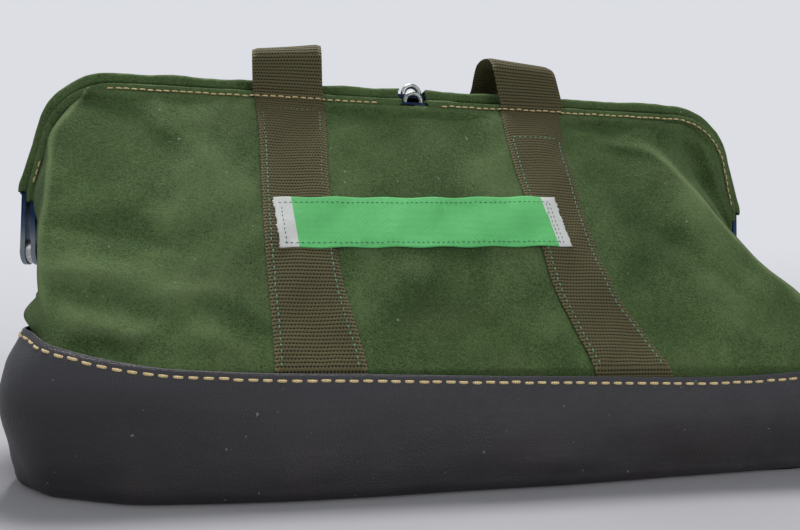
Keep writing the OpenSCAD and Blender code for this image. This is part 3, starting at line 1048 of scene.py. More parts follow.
@dataclass
class Panel:
    """Front or rear canvas panel with its two upright creases and the returns behind them.

    Each level is a path of five parts: return, bend, front, bend, return. The bends are
    quadratic curves whose corner is the crease; every place is a cubic through the levels.
    """

    face: Face
    levels: Tuple[float, ...] = (60, 70, 78, 86, 96, 106, 119, 132, 150, 168, 193, 214, 235, 244, 250.5)
    left: Tuple[float, ...] = (
        -269, -268, -262, -253, -252, -255, -260, -263, -266, -267, -271, -274, -266, -262.5, -259)
    right: Tuple[float, ...] = (270, 270, 266, 258, 251, 243, 233, 218, 204, 192, 179, 166, 150, 150, 150)
    left_round: Tuple[float, ...] = (34, 30, 20, 12, 9, 8, 7, 6, 5.5, 5, 5, 5, 5, 4, 3)
    right_round: Tuple[float, ...] = (34, 32, 28, 22, 17, 13, 10, 8, 7, 6, 6, 7, 18, 26, 30)
    rear_right: Tuple[float, ...] = (
        270, 270, 268, 265, 262, 259, 255, 250, 245, 240, 228, 215, 200, 190, 180)
    low_y: float = 119.9
    folds: Tuple[Tuple[float, ...], ...] = (
        (-268, 252, -178, 196, 9, -2.8), (-262, 234, -186, 214, 12, 2.0), (-240, 250, -150, 222, 10, 1.6),
        (-272, 127, -190, 122, 9, 3.2), (-254, 117, -172, 93, 8, -3.6), (-252, 106, -196, 88, 9, 3.4),
        (-240, 84, -190, 80, 7, -3.0), (-212, 84, -178, 100, 6, 2.2), (-196, 114, -150, 113, 6, 1.6),
        (-172, 110, -120, 84, 8, -2.6), (-176, 96, -128, 74, 8, 2.0), (112, 228, 160, 221, 5, 2.6),
        (84, 241, 150, 239, 4.5, -2.4), (118, 168, 196, 120, 9, -3.4), (100, 178, 200, 96, 16, 1.6),
        (114, 236, 102, 184, 8, -2.2), (150, 150, 214, 112, 8, 1.8), (-60, 150, 30, 96, 22, 2.0),
        (-70, 236, 20, 228, 16, -1.4), (-50, 120, 10, 84, 12, -1.8), (0, 112, 52, 80, 10, 1.8))
    rows: int = 190
    parts: Tuple[int, ...] = (30, 16, 300, 18, 60)

    def plane(self, z: Array) -> Array:
        """Distance of the flat part from the bag's middle: a straight line to the hem, with a belly.

        Args:
            z: heights.

        Returns:
            Distances from the middle.
        """
        half = HALVES[self.face]
        t = np.maximum((np.asarray(z, float) - BAND_SEAM) / (half.flat_z - BAND_SEAM), 0.0)
        return self.low_y + (half.flat_y - self.low_y) * t + half.belly * np.sin(np.pi * np.clip(t, 0, 1))

    def top(self) -> float:
        """Height of the panel's upper edge."""
        return HALVES[self.face].panel_top

    def relief(self, x: Array, z: Array) -> Array:
        """How far the cloth stands out: named folds, then ripples of three sizes.

        Args:
            x: across.
            z: up.

        Returns:
            The offset of the cloth.
        """
        if self.face is Face.FRONT:
            d = np.zeros(np.broadcast(x, z).shape)
            for ax, az, bx, bz, width, depth in self.folds:
                d = d + crease(x, z, (ax, az), (bx, bz), width, depth)
            step = ease((z - 141 + 0.16 * (x + 243)) / 9) * ease((163 - z) / 20)
            d = d - 2.6 * step * ease((-150 - x) / 60)
            groove = bell(z - 244.5, 4.0) * (0.35 + 0.65 * ease((x + 112) / 25) * ease((45 - x) / 20)
                                             + 0.45 * ease((x - 92) / 12))
            d = d - 2.4 * groove
            seed = 11
        else:
            d = crease(x, z, (230, 240), (120, 120), 14, -3.0)
            d = d + crease(x, z, (-230, 240), (-140, 110), 16, 2.6)
            d = d + crease(x, z, (-60, 170), (70, 100), 26, 2.4)
            d = d - 2.0 * bell(z - 252.0, 4.5)
            seed = 41
        calm = ease((z - 66.0) / 26.0) * ease((self.top() - z) / 10.0)
        wave = ripple(x, z, seed, 150.0) * 2.2 + ripple(x, z, seed + 1, 50.0) * 1.1
        wave = wave + ripple(x, z, seed + 2, 17.0) * 0.2
        pucker = np.sin(x * 2 * np.pi / 15.5 + ripple(x, z, seed + 3, 60.0)) * 0.35
        pucker = pucker * (bell(z - 74.0, 7.0) + 0.8 * bell(z - self.top() + 7, 5.0))
        return d * calm + wave * calm + pucker

    def skin(self, x: Array, z: Array, lift: float = 0.0) -> Array:
        """Points on the flat part.

        Args:
            x: across.
            z: up.
            lift: how far outside the cloth.

        Returns:
            Points, one per pair.
        """
        y = self.face.value * (self.plane(z) + self.relief(x, z) + lift)
        return np.stack(np.broadcast_arrays(x, y, z), -1)

    def normal(self, x: Array, z: Array) -> Array:
        """Outward normals of the flat part, from differences of half a millimetre.

        Args:
            x: across.
            z: up.

        Returns:
            Unit vectors.
        """
        dx = self.skin(x + 0.5, z) - self.skin(x - 0.5, z)
        dz = self.skin(x, z + 0.5) - self.skin(x, z - 0.5)
        n = unit(np.cross(dx, dz))
        return n * np.sign(n[..., 1:2] * self.face.value + 1e-12)

    def back_edge(self, side: Side, z: Array) -> Tuple[Array, Array]:
        """Where a return ends: on the base's end low down, inside the leg above the pivots.

        Args:
            side: left or right.
            z: heights.

        Returns:
            x and the distance behind which the gusset goes on.
        """
        s = side.value
        leg = MOUTH.shift + s * (MOUTH.edge_x(self.face, z, -3.0))
        knots = (60, 75, 90, 104, 118, 130, 142, 156, 176)
        far = {Side.LEFT: (268, 268, 265, 269, 268, 268, 276, 284, 288),
               Side.RIGHT: (268, 268, 264, 265, 257, 244, 236, 234, 234)}[side]
        low = smooth(z, knots, far) * s
        k = ease((z - 140.0) / 34.0)
        x = low * (1 - k) + leg * k
        y = smooth(z, (60, 75, 90, 104, 118, 130, 142, 156, 170, 182, 250),
                   (60, 60, 58, 55, 48, 38, 24, 15, 12, 11, 11.2))
        if self.face is Face.REAR:
            y = y + 12.0 * ease((z - 120.0) / 50.0)
        return x, y

    def grid(self) -> Tuple[Array, Array, Array]:
        """All levels' paths.

        Returns:
            Points rows by columns by 3, UVs in metres, and how pale each point is painted, for wear and
            painted light.
        """
        z = CLOTH_FOOT + (self.top() - CLOTH_FOOT) * np.linspace(0, 1, self.rows)
        zk = np.asarray(self.levels, float)
        mirror = self.face is Face.REAR
        if mirror:
            zk = CLOTH_FOOT + (zk - CLOTH_FOOT) * (self.top() - CLOTH_FOOT) / (zk[-1] - CLOTH_FOOT)
        xl, xr = smooth(z, zk, self.left), smooth(z, zk, self.rear_right if mirror else self.right)
        rl, rr = smooth(z, zk, self.left_round), smooth(z, zk, self.right_round)
        y = self.plane(z)
        al, bl = self.back_edge(Side.LEFT, z)
        ar, br = self.back_edge(Side.RIGHT, z)
        p = [np.stack(v, -1) for v in ((al, bl), (xl, y), (xr, y), (ar, br))]
        d0, d1 = unit(p[0] - p[1]), unit(p[2] - p[1])
        e0, e1 = unit(p[1] - p[2]), unit(p[3] - p[2])
        rl = np.minimum(rl, 0.8 * np.linalg.norm(p[0] - p[1], axis=1))[:, None]
        rr = np.minimum(rr, 0.8 * np.linalg.norm(p[3] - p[2], axis=1))[:, None]
        a, b, c, d = p[1] + d0 * rl, p[1] + d1 * rl, p[2] + e0 * rr, p[2] + e1 * rr

        n = self.parts
        flat = np.concatenate([between(p[0], a, n[0]), curve(a, p[1], b, n[1]), between(b, c, n[2]),
                               curve(c, p[2], d, n[3]), between(d, p[3], n[4], True)], 1)
        cols = np.arange(flat.shape[1])
        mid_l, mid_r = n[0] + n[1] / 2, sum(n[:3]) + n[3] / 2
        # Painted highlight along the left crease and, over the middle heights, along the right one.
        rub_and_painted_light = bell(cols - mid_l, 5.0)[None] * ease((z - 95) / 20)[:, None] * 0.75
        high = (ease((z - 90) / 25) * ease((236 - z) / 20))[:, None]
        rub_and_painted_light = rub_and_painted_light + bell(cols - mid_r, 6.0)[None] * high * 0.7
        front = ((cols >= n[0]) & (cols <= sum(n[:4]))).astype(float)
        grow = np.clip(np.minimum(cols - n[0], sum(n[:4]) - cols) / n[1], 0, 1) * front
        out = self.relief(flat[..., 0], z[:, None]) * (0.15 + 0.85 * ease(grow))[None]
        back = ripple(flat[..., 1] * 1.4, z[:, None], 77, 60.0) * 1.6
        back = back * (1 - front)[None] * ease((z - 80) / 30)[:, None]
        if not mirror:
            place = flat[..., 0] - smooth(z, (150, 167, 209, 235), (226, 216, 203, 198))[:, None]
            dent = bell(place, 6.0) - 0.75 * bell(place - 11.0, 4.0)
            reach = (ease((z - 150) / 20) * ease((240 - z) / 12))[:, None]
            back = back - 6.5 * dent * (cols > mid_r)[None] * reach
        held = ease(cols / 8)[None] * ease((len(cols) - 1 - cols) / 8)[None]
        yy = self.face.value * (flat[..., 1] + out + back * held)
        grid = np.stack([flat[..., 0], yy, np.broadcast_to(z[:, None], flat.shape[:2])], -1)
        swell = bell(z - 97, 11)[:, None] * (1.0 + 0.12 * np.sin(cols * 0.55))[None]
        side = np.sin(np.pi * np.clip(cols / (n[0] + 4.0), 0, 1)) * 10.0
        side = side - np.sin(np.pi * np.clip((len(cols) - 1 - cols) / (n[4] + 4.0), 0, 1)) * 7.0
        grid[..., 0] -= swell * side[None]
        # Paler near the hem as wear; paler on raised folds and less pale in hollows, as wear and painted
        # highlight.
        rub_and_painted_light = rub_and_painted_light + 0.25 * ease((z - self.top() + 10) / 8)[:, None] + 0.3 * np.clip(out, -1, 3) / 3
        if not mirror:
            # Painted light: the front's lower left is paler, with some wear there too.
            rub_and_painted_light = rub_and_painted_light + 0.3 * (bell(z - 106, 26)[:, None] * ease((-60 - flat[..., 0]) / 120)) + 0.12
        uv = np.stack([grid[..., 0] * MM, grid[..., 2] * MM], -1)
        if mirror:
            grid, uv, rub_and_painted_light = grid[:, ::-1], uv[:, ::-1], rub_and_painted_light[:, ::-1]
        return grid, uv, np.clip(rub_and_painted_light, 0, 1)

    def build(self, cloth: bpy.types.Material) -> bpy.types.Object:
        """Makes the panel.

        Args:
            cloth: the canvas.

        Returns:
            The object.
        """
        grid, uv, rub_and_painted_light = self.grid()
        word = self.face.word
        piece = Build.sheet(f"{word}_canvas_panel", grid, cloth, CANVAS_THICK, uv, rub_and_painted_light)
        carry(piece)
        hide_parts(f"{word}_wall", f"{word}_upper_wall",
                    f"{word}_left_return", f"{word}_right_return")
        Build.declare(piece, grid, "stretched", [f"{word}_frame_bar", "base_board"])
        return piece


@dataclass
class Gusset:
    """Canvas at one end: a puffed lower part and a fan-shaped fold between the frames' legs."""

    side: Side
    panels: Dict[Face, Panel]
    rows: int = 70
    cols: int = 90

    def low(self, cloth: bpy.types.Material) -> bpy.types.Object:
        """Lower part, from the front panel's return round the end to the rear one's.

        x is the return's place plus a bulge of sin(pi * place), y runs straight between the returns.

        Args:
            cloth: the canvas.

        Returns:
            The object.
        """
        s = self.side.value
        z = np.linspace(CLOTH_FOOT, 141.0, self.rows)
        xf, yf = self.panels[Face.FRONT].back_edge(self.side, z)
        xr, yr = self.panels[Face.REAR].back_edge(self.side, z)
        t = np.linspace(0, 1, self.cols)[None, :]
        y = -yf[:, None] * (1 - t) + yr[:, None] * t
        puff = smooth(z, (60, 76, 86, 91, 98, 106, 116, 128, 141), (-1, -2, -1, 3, 15, 19, 10, -5, -15))
        puff = puff * (1.0 if self.side is Side.LEFT else 0.8)
        x = xf[:, None] * (1 - t) + xr[:, None] * t + s * puff[:, None] * np.sin(np.pi * t) ** 0.8
        fold = ripple(y * 1.6, np.broadcast_to(z[:, None], y.shape) * 0.5, 5 + s, 40.0) * 1.8
        fold = fold + 2.6 * np.sin(t * 21.0 + z[:, None] * 0.11) * bell(z - 102, 13)[:, None]
        x = x + s * fold * np.sin(np.pi * t) * ease((z - 88) / 10)[:, None]
        grid = np.stack([x, y, np.broadcast_to(z[:, None], x.shape)], -1)
        if self.side is Side.LEFT:
            grid = grid[:, ::-1]
        word = self.side.word
        # Paler where its folds stand out: wear and painted highlight.
        piece = Build.sheet(f"{word}_gusset_canvas", grid, cloth, CANVAS_THICK, grid[..., 1:] * MM,
                            np.clip(0.3 + fold * 0.1, 0, 0.6))
        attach(piece, "base")
        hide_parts(f"{word}_gusset", f"{word}_gusset_fold")
        Build.declare(piece, grid, "gathered", ["base_board", "front_canvas_panel", "rear_canvas_panel"])
        return piece

    def fan(self, face: Face, cloth: bpy.types.Material) -> bpy.types.Object:
        """Half of the folded part, from its frame's leg in to the middle crease.

        At place t between leg and crease, x moves in by a depth that is largest at the pivots
        and nothing at the mouth's corner.

        Args:
            face: which half.
            cloth: the canvas.

        Returns:
            The object.
        """
        s = self.side.value
        z = np.linspace(122.0, 238.0, self.rows)
        x0, y0 = self.panels[face].back_edge(self.side, z)
        t = np.linspace(0, 1, 40)[None, :]
        deep = smooth(z, (122, 136, 170, 205, 238), (27, 30, 27, 17, 5))[:, None]
        y = face.value * y0[:, None] * (1 - t) + (MOUTH.depth + face.value * 0.8) * t
        high = z[:, None] - 48.0 * t ** 1.4 * ((z - 122.0) / 116.0)[:, None] ** 1.5
        x = x0[:, None] - s * (1.0 + deep * t ** 1.3)
        x = x + ripple(y * 2.0, z[:, None] * np.ones_like(t), 23 + s, 50.0) * np.sin(np.pi * t)
        grid = np.stack([x, y, high], -1)
        if (face is Face.FRONT) == (self.side is Side.LEFT):
            grid = grid[:, ::-1]
        word = f"{self.side.word}_{face.word}_gusset_fan"
        piece = Build.sheet(word, grid, cloth, 1.0, grid[..., 1:] * MM, np.full(x.shape, 0.2))
        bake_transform(piece)
        Build.declare(piece, grid, "folded", [f"{face.word}_canvas_panel"])
        return piece


@dataclass
class Sleeve:
    """Canvas tube sewn round one bar, open at the legs and round the lock eye."""

    face: Face
    wide: float = 12.3
    low: float = 3.4
    high: Tuple[float, float] = (3.6, 5.6)
    start: float = 44.0
    gap: float = 9.8

    def tube(self, side: Side, material: bpy.types.Material) -> bpy.types.Object:
        """One half: a flattened ring carried along the bar's line.

        The ring is wide * sgn(cos) |cos|^0.45 deep and high * sgn(sin) |sin|^0.6 thick; it
        swells and wanders a little along the way and is cut slanting at the leg.

        Args:
            side: which half.
            material: the canvas.

        Returns:
            The object.
        """
        line = MOUTH.half(self.face, 0.0, 420)
        keep = (line[:, 1] >= self.start - 8) & (line[:, 0] >= self.gap)
        line = resample(line[keep], 230)
        tangent = unit(np.gradient(line, axis=0))
        outward = np.stack([tangent[:, 1], -tangent[:, 0]], 1)
        run = lengths(line)
        a = np.linspace(0, 2 * np.pi, 36, endpoint=False)
        high = self.high[MOUTH.index(self.face)]
        deep = self.wide * np.sign(np.cos(a)) * np.abs(np.cos(a)) ** 0.45
        lift = np.where(np.sin(a) > 0, high, self.low) * np.sign(np.sin(a)) * np.abs(np.sin(a)) ** 0.6
        seed = 5 + 3 * MOUTH.index(self.face) + side.value
        swell = ripple(run[:, None], a[None] * 6, seed, 42.0) * 0.45
        swell = swell + ripple(run[:, None], a[None] * 9, seed + 20, 15.0) * 0.15
        loose = 1.0 + 0.06 * bell(run, 22.0)[:, None] + 0.12 * bell(run[-1] - run, 9.0)[:, None]
        tight = 1.0 - 0.42 * ease((104.0 - line[:, 1:]) / 50.0) * (np.sin(a) > 0)[None]
        n = lift[None] * tight * loose + swell * np.where(np.sin(a) > 0, 1.0, 0.25)[None] * tight
        n = np.where(np.sin(a)[None] > 0.3, np.maximum(n, 2.9), n)
        w = deep[None] * (1.0 + 0.03 * ripple(run[:, None], a[None], seed + 9, 60.0))
        slant = 7.0 * (np.cos(a) * (1 if self.face is Face.FRONT else -1) + 1) * 0.5
        rng = np.random.default_rng(seed)
        pull = bell(run, 16.0)[:, None] * slant[None]
        pull = pull - bell(run, 2.5)[:, None] * rng.uniform(0, 2.2, 36)[None]
        pull = pull + bell(run[-1] - run, 2.0)[:, None] * rng.uniform(-1.1, 1.1, 36)[None]
        x = line[:, :1] + outward[:, :1] * n + tangent[:, :1] * pull
        h = line[:, 1:] + outward[:, 1:] * n + tangent[:, 1:] * pull
        grid = MOUTH.stand(self.face, side.value * x, w, h)
        uv = np.stack(np.broadcast_arrays(a[None] * self.wide * 0.3 * MM, run[:, None] * MM), -1)
        worn = np.broadcast_to(0.25 + 0.3 * np.abs(np.sin(a))[None], n.shape)
        piece = Build.sheet(f"{self.face.word}_{side.word}_sleeve", grid, material, 1.1, uv, worn,
                            wrap=True, flip=side is Side.RIGHT)
        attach(piece, SWING[self.face])
        if side is Side.LEFT:
            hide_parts(f"{self.face.word}_sleeve")
        ring = np.concatenate([grid, grid[:, :1]], 1)
        Build.declare(piece, ring, "folded", [f"{self.face.word}_frame_bar"])
        return piece

    def seams(self, side: Side, straps: Sequence["Strap"]) -> List[Tuple[Array, Array]]:
        """Lines on the sleeve's outer face where the hem is sewn, and their normals.

        They step up over each strap. The front's left one is hidden by the corner's fold for a while.

        Args:
            side: which half.
            straps: the webbing that is sewn under the same seam.

        Returns:
            One line, or two on the front's left.
        """
        full = MOUTH.half(self.face, -0.8, 900)
        free = 23.0 if side is Side.LEFT else 16.0
        full = full[(full[:, 1] >= self.start + 4) & (full[:, 0] >= free)]
        parts = [full]
        if side is Side.LEFT and self.face is Face.FRONT:
            parts = [full[full[:, 0] < 219.0], full[full[:, 1] < 64.0]]
        rows = []
        for line in parts:
            line = resample(line, 500)
            x = MOUTH.shift + side.value * line[:, 0]
            over = np.zeros(len(line))
            for strap in straps:
                left, right = (float(v[0]) for v in strap.edges(np.array([strap.top() - 4.0])))
                over = np.maximum(over, ease((x - left + 1.5) / 2.0) * ease((right + 1.5 - x) / 2.0))
            over = over * HALVES[self.face].step * (line[:, 1] > 90)
            depth = self.face.value * (self.wide + 0.35 + over)
            path = MOUTH.stand(self.face, side.value * line[:, 0], depth, line[:, 1])
            rows.append((path, np.tile([0.0, float(self.face.value), 0.0], (len(path), 1))))
        return rows


# ------------------------------------------------------------------- base band


@dataclass
class BaseBand:
    """Band of coated cloth with its floor, as one closed shell that bows, sags and rises to its corners."""

    length: float = 550.0
    depth: float = 250.0
    corner: float = 34.0
    thick: float = 2.0
    edge: float = 9.0
    seam_drop: float = 3.7
    count: int = 560

    def plan(self, count: Optional[int] = None) -> Tuple[Array, Array, Array]:
        """Rounded rectangle, counter-clockwise from the middle of the rear.

        Args:
            count: points, else the shell's own number.

        Returns:
            Points, outward normals and the running length.
        """
        sx, sy, r = self.length / 2 - self.corner, self.depth / 2 - self.corner, self.corner
        a = np.linspace(0, np.pi / 2, 30)
        parts = []
        for cx, cy, turn in ((-sx, sy, 0.5), (-sx, -sy, 1.0), (sx, -sy, 1.5), (sx, sy, 2.0)):
            b = a + turn * np.pi
            parts.append(np.stack([cx + r * np.cos(b), cy + r * np.sin(b)], 1))
        loop = np.concatenate([[[0.0, self.depth / 2]]] + parts + [[[0.0, self.depth / 2]]])
        line = resample(loop, (count or self.count) + 1)[:-1]
        tangent = unit(np.roll(line, -1, 0) - np.roll(line, 1, 0))
        run = lengths(np.concatenate([line, line[:1]]))[:-1]
        return line, np.stack([tangent[:, 1], -tangent[:, 0]], 1), run

    def crown(self, p: Array) -> Array:
        """Height of the band's upper edge: 68 along the sides, rising to its corners.

        Args:
            p: points of the plan.

        Returns:
            Heights.
        """
        x, y = p[:, 0], p[:, 1]
        front = smooth(x, (-275, -248, -214, -188, -147, -71, 41, 200, 240, 275),
                       (92, 86.5, 78.5, 74, 71, 69, 66.5, 67, 71, 80))
        rear = smooth(x, (-275, -245, -205, -150, 150, 210, 250, 275), (86, 80, 72, 69, 69, 72, 79, 84))
        t = ease((y + 110) / 220)
        return front * (1 - t) + rear * t

    def wall(self, p: Array, z: Array) -> Array:
        """How far the wall stands outside its plan at height z.

        Args:
            p: points of the plan.
            z: heights.

        Returns:
            Distances, outwards.
        """
        x, y = p[:, 0], p[:, 1]
        crown = self.crown(p)
        belly = 7.5 * bell(x + 70, 170) * ease((-y - 60) / 50) + 2.5 * ease((y - 60) / 50) + 0.8
        bow = 8.5 * bell(x + 130, 115) - 14.0 * ease((x - 30) / 245) - 18.0 * ease((-x - 188) / 75)
        up = z / crown
        shape = np.sin(np.pi * np.clip(up * 0.84 + 0.12, 0, 1)) ** 1.2
        tuck = -6.0 * ease((z - 72) / 22) - 8.0 * bell(np.hypot(x + 265, y + 115), 26) * ease((z - 45) / 45)
        free = ease((z - 4) / 16) * ease((66 - z) / 26)
        soft = ripple(x + y * 0.6, z, 63, 120.0) * 1.3 * free + ripple(x + y, z, 64, 42.0) * 0.4 * free
        return 0.35 + belly * shape + bow * ease((-y - 70) / 45) * (1 - ease(up / 0.68)) + tuck + soft

    def shell(self, material: bpy.types.Material) -> bpy.types.Object:
        """The closed shell: floor, rounded lower edge, wall, rolled upper edge and inside.

        Args:
            material: the coated cloth.

        Returns:
            The object.
        """
        p, n, run = self.plan()
        crown = self.crown(p)
        rows: List[Array] = []
        base = self.wall(p, np.full(len(p), self.edge))

        def row(out: Array, z: Any) -> None:
            """Adds one ring: the plan moved outwards by out, at height z."""
            height = np.broadcast_to(z, len(p))[:, None]
            rows.append(np.concatenate([p + n * np.asarray(out)[..., None], height], 1))

        for k in (0.02, 0.35, 0.7, 0.88):
            rows.append(np.concatenate([p * k, np.zeros((len(p), 1))], 1))
        for a in np.linspace(0, np.pi / 2, 9)[:-1]:
            row(base - self.edge + self.edge * np.sin(a), self.edge * (1 - np.cos(a)))
        for t in np.linspace(0, 1, 44):
            z = self.edge + (crown - 1.0 - self.edge) * t
            row(self.wall(p, z), z)
        top = self.wall(p, crown)
        for a in np.linspace(0.15, np.pi - 0.15, 6):
            row(top - self.thick / 2 + self.thick / 2 * np.cos(a), crown - 1.0 + self.thick / 2 * np.sin(a))
        for t in np.linspace(1, 0, 12):
            z = self.edge + (crown - 1.0 - self.edge) * t
            row(self.wall(p, z) - self.thick, z)
        for a in np.linspace(np.pi / 2, 0, 5):
            inner = self.edge - self.thick
            row(base - self.edge + inner * np.sin(a), self.edge - inner * np.cos(a))
        for k in (0.88, 0.7, 0.35, 0.02):
            rows.append(np.concatenate([p * k, np.full((len(p), 1), self.thick)], 1))
        grid = np.stack(rows)
        height = lengths(grid[:, 0])
        uv = np.stack(np.broadcast_arrays(run[None] * MM, height[:, None] * MM), -1)
        faces = Build.quads(len(rows), len(p), wrap=True)
        piece = Build.mesh("base_band", grid.reshape(-1, 3), faces, material, uv.reshape(-1, 2))
        self.close(piece, len(rows), len(p))
        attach(piece, "base")
        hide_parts("base_tray")
        return piece

    @staticmethod
    def close(piece: bpy.types.Object, rows: int, cols: int) -> None:
        """Closes the two small holes in the middle of the floor with one face each.

        Args:
            piece: the shell.
            rows: its rings.
            cols: points in a ring.
        """
        mesh = bmesh.new()
        mesh.from_mesh(piece.data)
        mesh.verts.ensure_lookup_table()
        mesh.faces.new([mesh.verts[i] for i in reversed(range(cols))]).smooth = True
        mesh.faces.new([mesh.verts[(rows - 1) * cols + i] for i in range(cols)]).smooth = True
        mesh.to_mesh(piece.data)
        mesh.free()

    def seam(self) -> Tuple[Array, Array]:
        """Line of the stitches a little under the upper edge, and its normals.

        Returns:
            Points and normals.
        """
        p, n, _ = self.plan(1400)
        z = self.crown(p) - self.seam_drop
        path = np.concatenate([p + n * self.wall(p, z)[:, None], z[:, None]], 1)
        return path, np.concatenate([n, np.zeros((len(n), 1))], 1)


# ------------------------------------------------------------ webbing and label


def ribbon(name: str, centre: Array, across: Array, half: Array, thick: float,
           material: bpy.types.Material, lift: Optional[Array] = None) -> bpy.types.Object:
    """A woven strip: a flat ring with round edges carried along a line.

    Args:
        name: the object's name.
        centre: the strip's middle line, n by 3, on its underside.
        across: unit vectors to its second edge, n by 3.
        half: half widths.
        thick: its thickness.
        material: the webbing.
        lift: extra height at places across, n by 15.

    Returns:
        The object.
    """
    tangent = unit(np.gradient(centre, axis=0))
    up = unit(np.cross(across, tangent))
    k = np.linspace(-1, 1, 15)
    edge = np.sqrt(np.clip(1 - np.abs(k) ** 14, 0.0, 1))
    top = thick * (0.5 + 0.5 * edge)
    low = thick * (0.5 - 0.5 * edge)
    extra = np.zeros((len(centre), 15)) if lift is None else lift
    ks = np.concatenate([k, k[::-1]])
    hs = np.concatenate([top, low[::-1]])
    ex = np.concatenate([extra, extra[:, ::-1]], 1)
    grid = (centre[:, None] + across[:, None] * (half[:, None] * ks[None])[..., None]
            + up[:, None] * (hs[None] + ex)[..., None])
    run = lengths(centre)
    uv = np.stack(np.broadcast_arrays(half[:, None] * ks[None] * MM, run[:, None] * MM), -1)
    faces = Build.quads(len(centre), 30, wrap=True)
    n = len(centre)
    caps = []
    for base, flip in ((0, False), ((n - 1) * 30, True)):
        i = np.arange(14)
        quad = np.stack([base + i, base + 29 - i, base + 28 - i, base + i + 1], 1)
        caps.append(quad[:, ::-1] if flip else quad)
    return Build.mesh(name, grid.reshape(-1, 3), np.concatenate([faces] + caps), material, uv.reshape(-1, 2))


@dataclass
class Strap:
    """Webbing sewn up one panel, from under the base band to the hem."""

    face: Face
    side: Side
    panel: Panel
    thick: float = 2.2
    lift: float = 0.15
    seam_inset: float = 4.2
    seam_foot: float = 73.0

    def edges(self, z: Array) -> Tuple[Array, Array]:
        """Left and right edge of the strap at heights z.

        Args:
            z: heights.

        Returns:
            Left and right x.
        """
        if self.side is Side.LEFT:
            left = smooth(z, (60, 75, 110, 150, 190, 225, 246, 258),
                          (-122, -123, -127, -132, -136, -139.5, -143, -145.5))
            right = smooth(z, (60, 75, 100, 115, 150, 173, 220, 246, 258),
                           (-69, -71, -78, -82, -87.5, -90.5, -92.5, -93.5, -95))
        else:
            left = smooth(z, (60, 72, 97, 111, 143, 180, 217, 240, 258),
                          (72, 69, 60, 55, 49, 44.5, 41, 40, 41))
            right = smooth(z, (60, 72, 97, 111, 131, 159, 190, 220, 240, 258),
                           (124, 119, 106, 97.5, 91.5, 87, 85, 84.5, 86.5, 90.5))
        if self.face is Face.REAR:
            middle = left * 0.55 + right * 0.45
            left, right = middle - WEB_WIDTH / 2, middle + WEB_WIDTH / 2
        return left, right

    def top(self) -> float:
        """Height where the grab loop goes on."""
        return HALVES[self.face].strap_top

    def face_points(self, x: Array, z: Array, lift: float) -> Array:
        """Points of the strap's underside: on the cloth, then straight over the hem.

        Args:
            x: across.
            z: up.
            lift: how far outside the cloth.

        Returns:
            Points.
        """
        hem = HALVES[self.face].hem_z
        flat = self.panel.skin(x, np.minimum(z, hem), lift)
        flat[..., 2] = z
        edge = HALVES[self.face].hem_y
        y = np.abs(flat[..., 1])
        over = ease((z - hem + 9.0) / 8.0)
        flat[..., 1] = self.face.value * (y * (1 - over) + np.maximum(y, edge + lift) * over)
        return flat

    def build(self, webbing: bpy.types.Material) -> bpy.types.Object:
        """Makes the strap.

        Args:
            webbing: the webbing.

        Returns:
            The object.
        """
        z = np.linspace(CLOTH_FOOT, self.top(), 150)
        left, right = self.edges(z)
        if self.face is Face.REAR:
            left, right = right, left
        k = np.linspace(-1, 1, 15)
        x = (left + right)[:, None] / 2 + (right - left)[:, None] / 2 * k[None]
        ground = self.face_points(x, np.broadcast_to(z[:, None], x.shape), self.lift)
        centre = ground[:, 7].copy()
        half = np.abs(right - left) / 2
        across = np.tile([np.sign(right[0] - left[0]), 0.0, 0.0], (len(z), 1))
        lift = self.face.value * (ground[..., 1] - centre[:, 1:2])
        name = f"{self.face.word}_strap_{self.side.word}_webbing"
        piece = ribbon(name, centre, across, half, self.thick, webbing, lift)
        carry(piece)
        word, side = self.face.word, self.side.word
        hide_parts(f"{word}_strap_{side}", f"{word}_strap_foot_{side}")
        return piece

    def seams(self, box_top: float) -> List[Tuple[Array, Array]]:
        """Sewing 4 mm inside both edges and across the top.

        Args:
            box_top: height of the cross seam.

        Returns:
            A path and its normals for each row.
        """
        z = np.linspace(self.seam_foot, box_top, 220)
        left, right = self.edges(z)
        rows = []
        for x in (left + self.seam_inset, right - self.seam_inset):
            rows.append((self.face_points(x, z, self.lift + self.thick), self.panel.normal(x, z)))
        x = np.linspace(left[-1] + self.seam_inset, right[-1] - self.seam_inset, 60)
        zz = np.full(60, box_top)
        rows.append((self.face_points(x, zz, self.lift + self.thick), self.panel.normal(x, zz)))
        return rows


